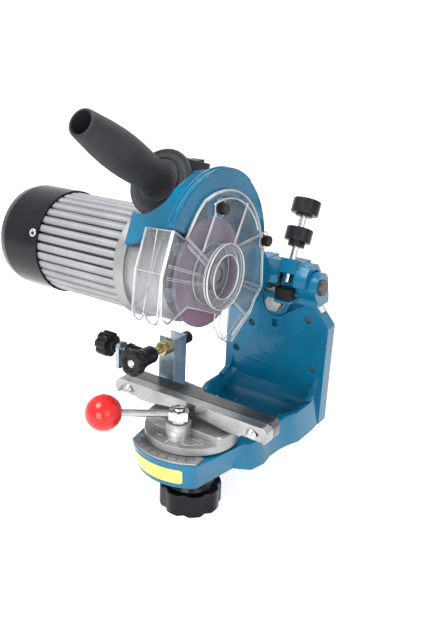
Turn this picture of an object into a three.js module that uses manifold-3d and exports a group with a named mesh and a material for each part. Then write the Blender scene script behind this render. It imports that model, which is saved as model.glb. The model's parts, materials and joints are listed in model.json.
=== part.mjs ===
// Electric chain sharpener for the bench or the wall: a casting with a swivelling vise on its nose,
// and a motor head that tilts about a bolt and swings down on a hinge pin.
// Millimetres, +Z up, z = 0 on the bench face, y = 0 on the front face of the back plate,
// x = 0 through the vise pivot, and the operator stands on the -Y side.

import * as THREE from 'three';
import { mergeVertices } from 'three/addons/utils/BufferGeometryUtils.js';
import Module from 'manifold-3d';

const wasm = await Module();
wasm.setup();

// Common values
const degree = Math.PI / 180;
const gap = 0.3;
const overrun = 6;
const sides = { large: 40, medium: 28, small: 18, bolt: 12 };
const edge = { fine: 0.6, small: 1, cast: 2, soft: 3 };

// Back plate of the casting
const plate = {
  thick: 17,
  centre: 8,
  halfWidth: 62,
  height: 136,
  shoulderRun: 21,
  shoulderDrop: 24,
  cornerRound: 5,
  rimWall: 7,
  webThick: 6.5,
  pocketLow: 44,
  pocketDrop: 38,
  ribThick: 4,
  holeRadius: 4.2,
  holeBoss: 10,
};
const plateHoleShares = [[0.613, 0.853], [0.774, 0.456], [-0.476, 0.713], [-0.774, 0.456]];

// Foot of the casting, round the recessed floor
const foot = {
  reach: 131,
  wallTop: 36,
  wallMid: 32,
  draft: 5,
  floorTop: 12,
  wallThick: 6,
  slopeFrom: 62,
  slopeTo: 84,
  shellFloor: 6,
  benchHoleRadius: 4.2,
};
const footOutlineShares = [
  [0.98, 0.06], [1.01, -0.12], [1, -0.36], [0.92, -0.46], [0.87, -0.56],
  [0.85, -0.69], [0.885, -0.81], [0.82, -0.94], [0.6, -1],
];
const floorHoleShares = [[0.45, -0.2], [-0.45, -0.2]];

// Nose of the casting, under the vise
const nose = {
  pivotY: -140,
  top: 27,
  topRadius: 59,
  lowRadius: 54,
  frontHalf: 31.5,
  rootHalf: 46,
  draft: 4.5,
  backReach: 24,
  landTop: 29.2,
  landRadius: 36,
  roofThick: 8,
  wall: 6,
  bossRadius: 13,
};

// Scale band on the nose
const viseScale = { outer: 58.5, thick: 1.7, halfWidth: 37 };

// Tilt joint between casting and hinge bracket
const tilt = {
  x: 7,
  drop: 8,
  tongueRadius: 15.4,
  tongueThick: 6.4,
  boltRadius: 5,
  headAcross: 17,
  headHigh: 6.4,
  washerRadius: 11,
  washerThick: 2,
  nutThick: 5,
};
tilt.z = plate.height - tilt.drop;
const notch = { leftReach: 23, leftRise: 11, rightReach: 41, rightRise: 8, slack: 0.9 };
const indexHole = { half: 3.4, high: 4.6, drop: 25 };
const tiltScale = { long: 11, wide: 9, thick: 0.9, along: 9 };

// Hinge bracket and its pin
const pin = { y: -20, above: 33, radius: 6, capRadius: 8.5, capThick: 3 };
pin.z = tilt.z + pin.above;
const bracket = {
  left: -19,
  leftEar: 14,
  rightEar: 20,
  right: 67,
  earRadius: 15,
  webUnder: 20,
  webThick: 6,
  front: -27,
  back: -0.6,
  stemFront: 7,
  ledgeThick: 3,
  ledgeFront: -45,
};
bracket.webLow = pin.z - bracket.webUnder;
bracket.webHigh = bracket.webLow + bracket.webThick;

// Swing of the head, drawn raised
const swing = { raise: 22.5 * degree, travel: 14 * degree, reach: 112, rise: 27.7 };

// Hinge lug of the head
const lug = {
  left: -4,
  right: 58,
  knuckleRadius: 12.5,
  knuckleLeft: 10,
  knuckleRight: 28,
  clearRadius: 16.4,
  front: 21,
  high: 22,
  back: 16,
  armLeft: -28,
  armRight: 14.6,
};
const armCorners = [[-51, -26, 4], [-17, -4, 4], [-17, 20, 4], [-37, 46, 4], [-60, 58, 4]];

// Depth screw, square to the lug's flange
const depth = {
  x: 36,
  offset: 17.2,
  radius: 3.6,
  flangeLow: 5,
  flangeHigh: 19.5,
  lockLow: 38,
  lockHigh: 52,
  lockHub: 5,
  lockRadius: 13.5,
  knobLow: 66,
  knobHigh: 81,
  knobGrip: 3,
  knobRadius: 14,
  hubRadius: 8.5,
  lobes: 12,
  lobeDeep: 0.8,
};
const anvil = { wide: 17, front: 7, under: 2 };
anvil.top = pin.z - anvil.under;

// Return spring round the hinge pin
const spring = { radius: 9.6, wire: 1.1, turns: 4, tang: 5 };

// Head casting, level with the head: a rim round the guard, a body behind it and a neck to the motor
const drum = {
  radius: 79,
  ahead: 3.8,
  lift: 14.3,
  front: 16,
  rimBack: 8,
  back: -12,
  step: 1,
  wall: 4,
  faceWall: 4,
  bodyFront: 67,
  bodyRear: 60,
  lowFront: 23.5,
  lowRear: -14,
  mouth: 66,
  mouthAhead: 1.5,
  mouthLift: 4.6,
  chamberBack: -8,
};
const neck = {
  end: -49.3,
  rise: -34,
  shoulder: -19,
  radius: 68,
  half: 57,
  lowFront: 5,
  lowRise: 9,
  lowRear: -5,
};

// Motor
const motor = {
  bodyRadius: 50,
  bodyFrom: -161,
  bodyTo: -61.3,
  ribs: 34,
  grooveDeep: 4.5,
  grooveWide: 3,
  flangeRadius: 53,
  shieldRadius: 49.6,
  shieldFront: -10,
  shieldNose: 26,
  shieldStep: 4,
  capFrom: -222,
  capRadius: 52,
  capRound: 16,
  shaftRadius: 8,
};
const capScrew = { radius: 5, high: 3, shank: 2.5, long: 14, circle: 38, count: 3, start: 200 * degree };

// Spindle end and disc
const spindle = {
  flangeRadius: 24,
  innerFrom: -1,
  hubRadius: 10.8,
  discFrom: 3.4,
  discThick: 3.2,
  discRadius: 50,
  discBore: 11.1,
  outerThick: 3.5,
  nutAcross: 24,
  nutThick: 6,
  end: 15.6,
};

// Clear guard, level with the head
const guard = {
  face: 19,
  wall: 2.4,
  ahead: 1.5,
  lift: 4.6,
  radius: 71.2,
  arcFrom: 136 * degree,
  arcTo: 40 * degree,
  ridgeRadius: 64,
  ridgeFrom: 128 * degree,
  ridgeTo: 48 * degree,
  ribHigh: 2.4,
  ribWide: 2,
  wallBack: 10.6,
};
const guardEdge = [
  [61, 47], [63, 40], [80.8, 5], [80, 0], [74, -10], [72, -24], [50, -56], [44, -58], [37, -56], [21, -46],
  [19, -33], [-39, -34], [-60, -51.5], [-72, -47], [-84, -17], [-84, 21.5], [-64.5, 18], [-62.3, 29], [-58.3, 42],
];
const guardRibs = [
  [-66, 19.5, -28, 8], [-64, 14.5, -27, 3.5], [-36, 49, -40, 14], [11, 70, 6, 30], [54, 52, 8, 28],
  [75, 2, 26, 2.5], [74, -2.5, 27, -1.5], [66, -30, 22, -16], [-82, -6, -28, -5], [-80, -16, -27, -12],
  [44, -50, 66, -22], [31, -44, 24, -20],
];
const guardWalls = [
  [68, -28, 50, -54], [50, -54, 44, -56.5], [44, -56.5, 38, -54.5], [38, -54.5, 22.5, -45], [22.5, -45, 20.5, -34],
];
const hub = { radius: 28.7, waist: 27.6, ring: 30.5, hole: 19.5, back: 8.6, front: 25, ringThick: 3, wall: 2.2 };
const guardScrew = { radius: 5.4, high: 7, shank: 2.4, ear: 9, round: 1 };
const guardScrewAt = [[-28.4, 54.7], [61, 46]];

// Spark deflector in front of the guard, level with the head
const deflector = {
  left: -17,
  leftFace: 75.5,
  face: 84,
  toe: 12,
  high: 21.5,
  waist: -14,
  low: -47,
  lobe: 8,
  notch: -2,
};
const deflectorEnd = [
  [-75, 21.5], [-75, -14], [-67, -42], [-60, -41], [-50, -24], [-51.5, 0], [-50.5, 14.5],
];
const deflectorTab = [
  [-83, 18], [-83, -14], [-75.5, -40], [-68, -38], [-71, -14], [-71, 18],
];
const deflectorScrewAt = [[-77, 9], [-74.5, -28]];

// Handle, square to its boss on the head
const handle = {
  x: -38,
  y: -14,
  z: 76.3,
  lean: 60.5 * degree,
  flangeRadius: 33.5,
  flangeThick: 4,
  rootRadius: 20,
  rootLong: 14,
  neckRadius: 15.4,
  gripRadius: 17.4,
  endRadius: 11.5,
  endRound: 3,
  long: 113,
  hollowRadius: 9.5,
  hollowTaper: 0.8,
  hollowDeep: 34,
  bossRadius: 22,
  bossDeep: 24,
  boltRadius: 5,
  boltHead: 7.5,
  boltHeadHigh: 6,
  boltInto: 16,
};

// Mains switch on top of the head
const control = {
  x: -32,
  y: 16,
  z: 79.5,
  wide: 24,
  deep: 34,
  high: 15,
  plinth: 22,
  lean: -12 * degree,
  rocker: 13,
  rise: 3,
};

// Vise, swivelling about the nose
const vise = { radius: 46.5, low: 29.5, top: 45, stepTop: 37, stepY: -20, bevel: 1.6, seatHalf: 34, seatBack: 22 };
const jaw = {
  half: 88,
  top: 66,
  low: 50,
  face: 0.3,
  frontThick: 12,
  rearThick: 16,
  endRound: 11,
  archHalf: 46,
  archRise: 7,
  screwX: 72,
  screwZ: 57,
  screwRadius: 5.4,
  moonRadius: 12,
  moonDeep: 3,
  bumpX: -12,
  bumpHalf: 7,
  bumpDeep: 6,
  guideX: 15,
  guideZ: 59,
  guideRadius: 3.4,
  domeRadius: 6,
  domeHigh: 5,
  guideSkin: 3,
  backRound: 13,
  travel: 2.4,
};
const clamp = {
  x: 2,
  y: -26,
  low: 53,
  top: 67,
  across: 19,
  recess: 6,
  recessDeep: 4,
  post: 12,
  leverRadius: 3.5,
  ballX: -55,
  ballY: -42,
  ballRise: 2,
  ballRadius: 17.5,
  leverInto: 6,
  ballInto: 12,
};
const lock = {
  studRadius: 6,
  low: -47,
  into: 11,
  radius: 31,
  bodyLow: -50,
  bodyHigh: -26,
  hubHigh: -0.6,
  hubRadius: 15,
  lobes: 8,
  lobeDeep: 3,
};

// Chain stop behind the vise
const stop = {
  x: -54,
  z: 95,
  rodFrom: -22,
  rodTo: 61,
  rodRadius: 3.4,
  columnLeft: -66,
  columnRight: -47,
  columnFront: 30,
  columnBack: 51,
  sheet: 2.5,
  footTop: 49.7,
  columnTop: 103,
  nutAcross: 13,
  nutThick: 5.5,
  nutY: [17, 24],
  capRadius: 6.5,
  capLong: 8,
  knobRadius: 13.5,
  knobFrom: -30,
  knobTo: -19,
  blockLeft: -77,
  blockRadius: 12,
  sleeveShare: 0.8,
  crossY: -5,
  crossRadius: 2.5,
  crossEnd: -103,
  endKnobRadius: 13,
  endKnobLong: 19,
  endKnobLobes: 7,
  pawlX: -88,
  pawlThick: 4,
  pawlEye: 7,
  pawlReach: 24,
  pawlDrop: 20,
};

// Materials: colour, roughness and metalness of each
const look = (color, roughness, metalness, extra = {}) => () =>
  new THREE.MeshStandardMaterial({ color, roughness, metalness, ...extra });
const looks = {
  paint: look(0x1e7db0, 0.35, 0.1),
  aluminium: look(0xb9b9bd, 0.45, 0.8),
  castGrey: look(0xa5a2a0, 0.5, 0.8),
  jawGrey: look(0xbebebe, 0.4, 0.8),
  steel: look(0xc6c6c8, 0.3, 0.9),
  darkSteel: look(0x3a3a3c, 0.5, 0.7),
  zinc: look(0x8fa2b2, 0.35, 0.85),
  yellowZinc: look(0xc8b478, 0.4, 0.8),
  black: look(0x26262a, 0.6, 0),
  grip: look(0x37373b, 0.7, 0),
  red: look(0xd8201c, 0.25, 0),
  clear: look(0xdfe6ea, 0.1, 0, { transparent: true, opacity: 0.35 }),
  pink: look(0xd7a0c8, 0.9, 0),
  white: look(0xe6e6e6, 0.5, 0),
};

// Geometry helpers
const alongX = new THREE.Vector3(1, 0, 0);
const alongY = new THREE.Vector3(0, 1, 0);
const alongZ = new THREE.Vector3(0, 0, 1);
const drawingPlane = {
  x: new THREE.Matrix4().makeBasis(alongY, alongZ, alongX),
  y: new THREE.Matrix4().makeBasis(alongX, alongZ, alongY.clone().negate()),
  z: new THREE.Matrix4(),
};
const turningAxis = {
  x: new THREE.Matrix4().makeBasis(alongZ, alongX, alongY),
  y: new THREE.Matrix4(),
  z: new THREE.Matrix4().makeBasis(alongY, alongZ, alongX),
};

// An outline drawn across an axis, pushed along that axis from one place to another.
function prism(axis, outline, from, to, bevel = 0) {
  const shape = new THREE.Shape(outline.map(([u, v]) => new THREE.Vector2(u, v)));
  const geometry = new THREE.ExtrudeGeometry(shape, {
    depth: to - from - 2 * bevel,
    bevelEnabled: bevel > 0,
    bevelThickness: bevel,
    bevelSize: bevel,
    bevelOffset: -bevel,
    bevelSegments: 2,
  });
  geometry.translate(0, 0, (axis === 'y' ? -to : from) + bevel);
  return geometry.applyMatrix4(drawingPlane[axis]);
}

// A profile of [place along the axis, radius] points, turned round the axis.
function turned(axis, profile, segments) {
  const points = profile.map(([along, radius]) => new THREE.Vector2(radius, along));
  return new THREE.LatheGeometry(points, segments).applyMatrix4(turningAxis[axis]);
}

function rod(axis, radius, from, to, segments = sides.small) {
  return turned(axis, [[from, 0], [from, radius], [to, radius], [to, 0]], segments);
}

function ring(axis, inner, outer, from, to, segments = sides.large) {
  return turned(axis, [[from, inner], [from, outer], [to, outer], [to, inner], [from, inner]], segments);
}

function block(x0, x1, y0, y1, z0, z1) {
  return prism('z', [[x0, y0], [x1, y0], [x1, y1], [x0, y1]], z0, z1);
}


// Outline points
function arc(cu, cv, radius, from, to, steps) {
  return Array.from({ length: steps + 1 }, (_, i) => {
    const angle = from + ((to - from) * i) / steps;
    return [cu + radius * Math.cos(angle), cv + radius * Math.sin(angle)];
  });
}

const circle = (cu, cv, radius, steps) => arc(cu, cv, radius, 0, 2 * Math.PI, steps).slice(0, -1);

const hexagon = (cu, cv, across) => circle(cu, cv, across / Math.sqrt(3), 6);

// A polygon whose corners are rounded, each by its own radius.
function rounded(corners, steps = 4) {
  const points = [];
  corners.forEach(([u, v, radius], i) => {
    const [pu, pv] = corners[(i + corners.length - 1) % corners.length];
    const [nu, nv] = corners[(i + 1) % corners.length];
    const back = new THREE.Vector2(pu - u, pv - v);
    const ahead = new THREE.Vector2(nu - u, nv - v);
    const half = Math.abs(back.angleTo(ahead)) / 2;
    const reach = Math.min(radius / Math.tan(half), back.length() / 2, ahead.length() / 2);
    if (!(reach > 0)) {
      points.push([u, v]);
      return;
    }
    const start = new THREE.Vector2(u, v).addScaledVector(back.normalize(), reach);
    const end = new THREE.Vector2(u, v).addScaledVector(ahead.normalize(), reach);
    const curve = new THREE.QuadraticBezierCurve(start, new THREE.Vector2(u, v), end);
    curve.getPoints(steps).forEach((p) => points.push([p.x, p.y]));
  });
  return points;
}

// A round outline with evenly spaced hollows, for knobs.
function lobed(radius, lobes, deep, steps = 4) {
  const count = lobes * steps;
  return Array.from({ length: count }, (_, i) => {
    const angle = (2 * Math.PI * i) / count;
    const wave = Math.max(0, -Math.cos(lobes * angle));
    return [(radius - deep * wave) * Math.cos(angle), (radius - deep * wave) * Math.sin(angle)];
  });
}

// Sections of equal point counts, each [place, outline], joined into one body along an axis.
function lofted(axis, sections) {
  const count = sections[0][1].length;
  const last = (sections.length - 1) * count;
  const points = sections.flatMap(([along, outline]) => outline.map(([u, v]) => [u, v, along]));
  const faces = [];
  for (let start = 0; start < last; start += count) {
    for (let i = 0; i < count; i += 1) {
      const here = start + i;
      const next = start + ((i + 1) % count);
      faces.push(here, next, next + count, here, next + count, here + count);
    }
  }
  const capOf = (outline) => THREE.ShapeUtils.triangulateShape(outline.map(([u, v]) => new THREE.Vector2(u, v)), []);
  capOf(sections[0][1]).forEach(([a, b, c]) => faces.push(a, c, b));
  capOf(sections[sections.length - 1][1]).forEach(([a, b, c]) => faces.push(a + last, b + last, c + last));
  const geometry = new THREE.BufferGeometry();
  geometry.setAttribute('position', new THREE.Float32BufferAttribute(points.flat(), 3));
  geometry.setIndex(faces);
  return geometry.applyMatrix4(drawingPlane[axis]);
}

// Joining and cutting
function closed(geometry) {
  const bare = geometry.clone();
  bare.deleteAttribute('normal');
  bare.deleteAttribute('uv');
  const merged = mergeVertices(bare, 1e-4);
  const from = merged.index.array;
  const at = merged.attributes.position;
  const a = new THREE.Vector3();
  const b = new THREE.Vector3();
  const c = new THREE.Vector3();
  const kept = [];
  let volume = 0;
  for (let i = 0; i < from.length; i += 3) {
    const [p, q, r] = [from[i], from[i + 1], from[i + 2]];
    if (p === q || q === r || r === p) continue;
    kept.push(p, q, r);
    volume += a.fromBufferAttribute(at, p).dot(b.fromBufferAttribute(at, q).cross(c.fromBufferAttribute(at, r)));
  }
  if (volume < 0) kept.reverse();
  merged.setIndex(kept);
  return merged;
}

function solid(geometry) {
  if (geometry instanceof wasm.Manifold) return geometry;
  const merged = closed(geometry);
  return new wasm.Manifold(new wasm.Mesh({
    numProp: 3,
    vertProperties: new Float32Array(merged.attributes.position.array),
    triVerts: new Uint32Array(merged.index.array),
  }));
}

const join = (first, ...others) => others.reduce((sum, next) => sum.add(solid(next)), solid(first));
const cut = (first, ...others) => others.reduce((left, next) => left.subtract(solid(next)), solid(first));
const common = (first, ...others) => others.reduce((left, next) => left.intersect(solid(next)), solid(first));

function surface(shape) {
  let geometry = shape;
  if (shape instanceof wasm.Manifold) {
    const mesh = shape.getMesh();
    geometry = new THREE.BufferGeometry();
    geometry.setAttribute('position', new THREE.BufferAttribute(new Float32Array(mesh.vertProperties), mesh.numProp));
    geometry.setIndex(Array.from(mesh.triVerts));
  }
  const flat = closed(geometry).toNonIndexed();
  flat.computeVertexNormals();
  return flat;
}

function piece(parent, name, shape, material) {
  const mesh = new THREE.Mesh(surface(shape), material());
  mesh.name = name;
  parent.add(mesh);
  return mesh;
}

function group(parent, x, y, z) {
  const made = new THREE.Group();
  made.position.set(x, y, z);
  parent.add(made);
  return made;
}

const sharpener = new THREE.Group();
const right = plate.centre + plate.halfWidth;
const left = plate.centre - plate.halfWidth;

// Casting: back plate with a shoulder each side, a notch for the bracket's tongue and an open back
function plateSolid() {
  const shoulder = plate.height - plate.shoulderDrop;
  const outline = rounded([
    [left, 0, 0],
    [right, 0, 0],
    [right, shoulder, plate.cornerRound],
    [right - plate.shoulderRun, plate.height, plate.cornerRound],
    [left + plate.shoulderRun, plate.height, plate.cornerRound],
    [left, shoulder, plate.cornerRound],
  ]);
  const tongueRoom = tilt.tongueRadius + notch.slack;
  const rightFoot = tongueRoom * Math.SQRT1_2;
  const notchDeep = tilt.tongueThick + 2 * gap;
  const notchOutline = [
    [tilt.x - tongueRoom, tilt.z],
    [tilt.x - notch.leftReach, tilt.z + notch.leftRise],
    [tilt.x - notch.leftReach, plate.height + overrun],
    [tilt.x + notch.rightReach + overrun, plate.height + overrun],
    [tilt.x + notch.rightReach, tilt.z + notch.rightRise],
    [tilt.x + rightFoot, tilt.z - rightFoot],
  ].reverse();
  let body = solid(prism('y', outline, 0, plate.thick));
  body = cut(
    body,
    prism('y', notchOutline, -overrun, notchDeep),
    prism('y', circle(tilt.x, tilt.z, tongueRoom, sides.medium), -overrun, notchDeep),
    rod('y', tilt.boltRadius + gap, -overrun, plate.thick + overrun).translate(tilt.x, 0, tilt.z),
    prism('y', hexagon(tilt.x, tilt.z, tilt.headAcross + 2 * gap), plate.thick - tilt.nutThick - gap,
      plate.thick + overrun),
    block(tilt.x - indexHole.half, tilt.x + indexHole.half, -overrun, plate.webThick,
      tilt.z - indexHole.drop - indexHole.high, tilt.z - indexHole.drop + indexHole.high),
  );
  const bays = [
    [left + plate.rimWall, plate.centre - plate.ribThick / 2],
    [plate.centre + plate.ribThick / 2, right - plate.rimWall],
  ];
  let hollow = null;
  bays.forEach(([from, to]) => {
    const bay = solid(prism('y', rounded([
      [from, plate.pocketLow, plate.rimWall],
      [to, plate.pocketLow, plate.rimWall],
      [to, plate.height - plate.pocketDrop, plate.rimWall],
      [from, plate.height - plate.pocketDrop, plate.rimWall],
    ]), plate.webThick, plate.thick + overrun));
    hollow = hollow ? hollow.add(bay) : bay;
  });
  plateHoleShares.forEach(([shareX, shareZ]) => {
    const boss = rod('y', plate.holeBoss, 0, plate.thick + 2 * overrun)
      .translate(plate.centre + shareX * plate.halfWidth, 0, shareZ * plate.height);
    hollow = cut(hollow, boss);
  });
  body = cut(body, hollow);
  plateHoleShares.forEach(([shareX, shareZ]) => {
    body = cut(body, rod('y', plate.holeRadius, -overrun, plate.thick + overrun)
      .translate(plate.centre + shareX * plate.halfWidth, 0, shareZ * plate.height));
  });
  return body;
}

// Widens or narrows a prism from its foot upwards, as a casting's draft does.
function drafted(geometry, centre, growth, height) {
  const at = geometry.attributes.position;
  for (let i = 0; i < at.count; i += 1) {
    at.setX(i, centre + (at.getX(i) - centre) * (1 + (growth * at.getZ(i)) / height));
  }
  return geometry;
}

// Casting: foot with drafted walls round the recessed floor
function footSolid() {
  const half = footOutlineShares.map(([u, v]) => [u * plate.halfWidth, v * foot.reach]);
  const ringOf = (inset) => [
    ...half.map(([u, v]) => [plate.centre + u - inset, v]),
    ...half.map(([u, v]) => [plate.centre - u + inset, v]).reverse(),
  ].reverse();
  const walls = drafted(prism('z', ringOf(0), 0, foot.wallTop), plate.centre, -foot.draft / plate.halfWidth,
    foot.wallTop);
  const side = [
    [plate.thick, 0],
    [plate.thick, foot.wallTop],
    [-foot.wallThick, foot.wallTop],
    [-foot.wallThick * 3, foot.wallMid],
    [-foot.slopeFrom, foot.wallMid],
    [-foot.slopeTo, nose.top],
    [-foot.reach - overrun, nose.top],
    [-foot.reach - overrun, 0],
  ].reverse();
  const body = common(walls, prism('x', side, left - overrun, right + overrun));
  const room = cut(
    prism('z', rounded(ringOf(foot.wallThick + foot.draft).map(([x, y]) =>
      [x, Math.min(y, 0), foot.wallThick])), foot.floorTop, foot.wallTop + overrun),
    rod('z', vise.radius + foot.wallThick, 0, foot.wallTop + 2 * overrun, sides.large)
      .translate(0, nose.pivotY, 0),
  );
  const under = cut(
    prism('z', rounded(ringOf(foot.wallThick + foot.draft).map(([x, y]) =>
      [x, Math.min(y, -foot.wallThick), foot.wallThick])), -overrun, foot.floorTop - foot.shellFloor),
    rod('z', vise.radius, -2 * overrun, foot.wallTop, sides.large).translate(0, nose.pivotY, 0),
  );
  return { body, room, under };
}

// Casting: drafted nose with the machined land for the vise
function noseSolids() {
  const cone = turned('z', [[0, 0], [0, nose.lowRadius], [nose.top, nose.topRadius], [nose.top, 0]], sides.large);
  const growth = nose.draft / nose.frontHalf;
  const planOf = (inset, back) => [
    [inset - nose.frontHalf, -nose.topRadius],
    [nose.frontHalf - inset, -nose.topRadius],
    [nose.rootHalf - inset, back],
    [inset - nose.rootHalf, back],
  ];
  const flanks = drafted(prism('z', planOf(0, nose.backReach), 0, nose.top), 0, growth, nose.top);
  const roof = nose.top - nose.roofThick;
  const hollow = common(
    turned('z', [
      [-overrun, 0],
      [-overrun, nose.lowRadius - nose.wall],
      [roof, nose.topRadius - nose.wall],
      [roof, 0],
    ], sides.large),
    drafted(prism('z', planOf(nose.wall, nose.backReach - nose.wall), -overrun, nose.top), 0, growth, nose.top),
  );
  const bosses = join(
    rod('z', nose.bossRadius, 0, nose.top),
    rod('z', nose.landRadius, nose.top - nose.roofThick / 2, nose.landTop, sides.large),
  );
  return [common(cone, flanks), hollow, bosses].map((shape) => shape.translate(0, nose.pivotY, 0));
}

function castingSolid() {
  const { body, room, under } = footSolid();
  let whole = join(plateSolid(), body);
  const [front, hollow, bosses] = noseSolids();
  whole = cut(whole, room, under);
  whole = join(cut(join(whole, front), hollow), bosses);
  whole = cut(whole, rod('z', lock.studRadius + gap, -overrun, nose.landTop + overrun)
    .translate(0, nose.pivotY, 0));
  floorHoleShares.forEach(([shareX, shareY]) => {
    whole = cut(whole, rod('z', foot.benchHoleRadius, -overrun, foot.wallTop)
      .translate(plate.centre + shareX * plate.halfWidth, shareY * foot.reach, 0));
  });
  return whole;
}
piece(sharpener, 'base_casting', castingSolid(), looks.paint);

// Scale band on the nose
const bandFlanks = block(-viseScale.halfWidth, viseScale.halfWidth, -nose.topRadius, -vise.radius * Math.SQRT1_2,
  nose.top, nose.top + overrun);
piece(sharpener, 'vise_scale_plate', common(
  ring('z', vise.radius + gap, viseScale.outer, nose.top + gap, nose.top + gap + viseScale.thick),
  bandFlanks,
), looks.castGrey).position.set(0, nose.pivotY, 0);

// Tilt scale on the right shoulder
const shoulderSlope = Math.atan2(plate.shoulderDrop, plate.shoulderRun);
const tiltTag = piece(
  sharpener,
  'tilt_scale_tag',
  block(-tiltScale.long / 2, tiltScale.long / 2, 0, tiltScale.wide, 0, tiltScale.thick),
  looks.white,
);
tiltTag.rotation.y = shoulderSlope;
tiltTag.position.set(
  right - plate.shoulderRun + tiltScale.along * Math.cos(shoulderSlope) + gap * Math.sin(shoulderSlope),
  (plate.thick - tiltScale.wide) / 2,
  plate.height - tiltScale.along * Math.sin(shoulderSlope) + gap * Math.cos(shoulderSlope),
);

// Tilt bolt, washer face and nut
const tiltBolt = join(
  rod('y', tilt.boltRadius, -tilt.washerThick, plate.thick - gap),
  prism('y', hexagon(0, 0, tilt.headAcross), -tilt.washerThick - tilt.headHigh, -tilt.washerThick),
);
piece(sharpener, 'tilt_bolt', tiltBolt, looks.steel).position.set(tilt.x, 0, tilt.z);
piece(sharpener, 'tilt_washer', ring('y', tilt.boltRadius + gap, tilt.washerRadius, gap - tilt.washerThick, 0,
  sides.small), looks.steel).position.set(tilt.x, 0, tilt.z);
piece(sharpener, 'tilt_nut', cut(
  prism('y', hexagon(0, 0, tilt.headAcross), plate.thick - tilt.nutThick, plate.thick - gap),
  rod('y', tilt.boltRadius + gap, 0, plate.thick + overrun),
), looks.steel).position.set(tilt.x, 0, tilt.z);

// Hinge bracket: tongue in the notch, a web over the bolt and an ear each side of the lug
const tilting = group(sharpener, 0, 0, 0);
function bracketSolid() {
  const tongueBack = gap + tilt.tongueThick;
  const tongue = join(
    rod('y', tilt.tongueRadius, gap, tongueBack, sides.medium).translate(tilt.x, 0, tilt.z),
    block(tilt.x - tilt.tongueRadius, tilt.x + tilt.tongueRadius, gap, tongueBack, tilt.z, bracket.webHigh),
  );
  const web = block(bracket.left, bracket.right, bracket.front, bracket.back, bracket.webLow, bracket.webHigh);
  const ledge = block(depth.x - anvil.wide / 2, depth.x + anvil.wide / 2, bracket.ledgeFront,
    bracket.front + overrun, bracket.webHigh - bracket.ledgeThick, bracket.webHigh);
  const bridge = block(tilt.x - tilt.tongueRadius, tilt.x + tilt.tongueRadius, bracket.back - overrun, tongueBack,
    bracket.webLow, bracket.webHigh);
  const ear = (from, to) => join(
    rod('x', bracket.earRadius, from, to, sides.medium).translate(0, pin.y, pin.z),
    prism('x', [
      [pin.y - bracket.stemFront, bracket.webLow],
      [bracket.back, bracket.webLow],
      [bracket.back, bracket.webHigh],
      [pin.y + bracket.earRadius - gap, pin.z],
      [pin.y - bracket.stemFront, pin.z],
    ], from, to),
  );
  return cut(
    join(tongue, web, ledge, bridge, ear(bracket.left, bracket.left + bracket.leftEar),
      ear(bracket.right - bracket.rightEar, bracket.right)),
    rod('x', pin.radius + gap, bracket.left - overrun, bracket.right + overrun).translate(0, pin.y, pin.z),
    rod('y', tilt.boltRadius + gap, -overrun, plate.thick).translate(tilt.x, 0, tilt.z),
  );
}
piece(tilting, 'hinge_bracket', bracketSolid(), looks.paint);
piece(tilting, 'hinge_pin', turned('x', [
  [bracket.left - gap, 0],
  [bracket.left - gap, pin.radius],
  [bracket.right + gap, pin.radius],
  [bracket.right + gap, pin.capRadius],
  [bracket.right + gap + pin.capThick, pin.capRadius - pin.capThick / 3],
  [bracket.right + gap + pin.capThick, 0],
], sides.small), looks.darkSteel).position.set(0, pin.y, pin.z);
piece(tilting, 'stop_anvil', block(
  depth.x - anvil.wide / 2,
  depth.x + anvil.wide / 2,
  pin.y - depth.offset - anvil.front,
  pin.y - lug.knuckleRadius - 2 * gap,
  bracket.webHigh + gap,
  anvil.top,
), looks.black);

// Head, hinged on the pin and drawn in its raised place
const head = group(tilting, 0, pin.y, pin.z);
const spindleY = -swing.reach;
const spindleZ = swing.rise;

function lugSolid() {
  const profile = rounded([
    [-lug.front, 0, edge.cast],
    [lug.back, 0, edge.cast],
    [lug.back, lug.high / 2, lug.knuckleRadius / 2],
    [lug.front / 4, lug.high, lug.knuckleRadius / 2],
    [-lug.front / 2, lug.high, lug.knuckleRadius / 2],
    [-lug.front, lug.high / 2, lug.knuckleRadius / 2],
  ]);
  const cover = cut(
    prism('x', profile, lug.left, lug.right),
    rod('x', lug.clearRadius, lug.left - overrun, lug.right + overrun, sides.medium),
  );
  const knuckle = (from, to) => join(
    rod('x', lug.knuckleRadius, from, to, sides.medium),
    prism('x', [
      [-lug.knuckleRadius, 0],
      [lug.knuckleRadius, 0],
      [lug.knuckleRadius, lug.clearRadius + overrun],
      [-lug.knuckleRadius, lug.clearRadius + overrun],
    ], from, to),
  );
  const earSide = bracket.right - bracket.rightEar - gap;
  return cut(
    join(cover, knuckle(lug.left, lug.knuckleLeft), knuckle(lug.knuckleRight, earSide)),
    rod('x', pin.radius + gap, lug.left - overrun, lug.right + overrun),
  );
}

// The flange that carries the depth screw, in the screw's own direction
function flangeSolid() {
  const half = anvil.wide / 2;
  return prism('x', [
    [-depth.offset - 2 * depth.radius, depth.flangeLow],
    [0, depth.flangeLow + lug.knuckleRadius],
    [0, depth.flangeHigh],
    [-depth.offset - 2 * depth.radius, depth.flangeHigh],
  ], depth.x - half, depth.x + half);
}

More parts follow.
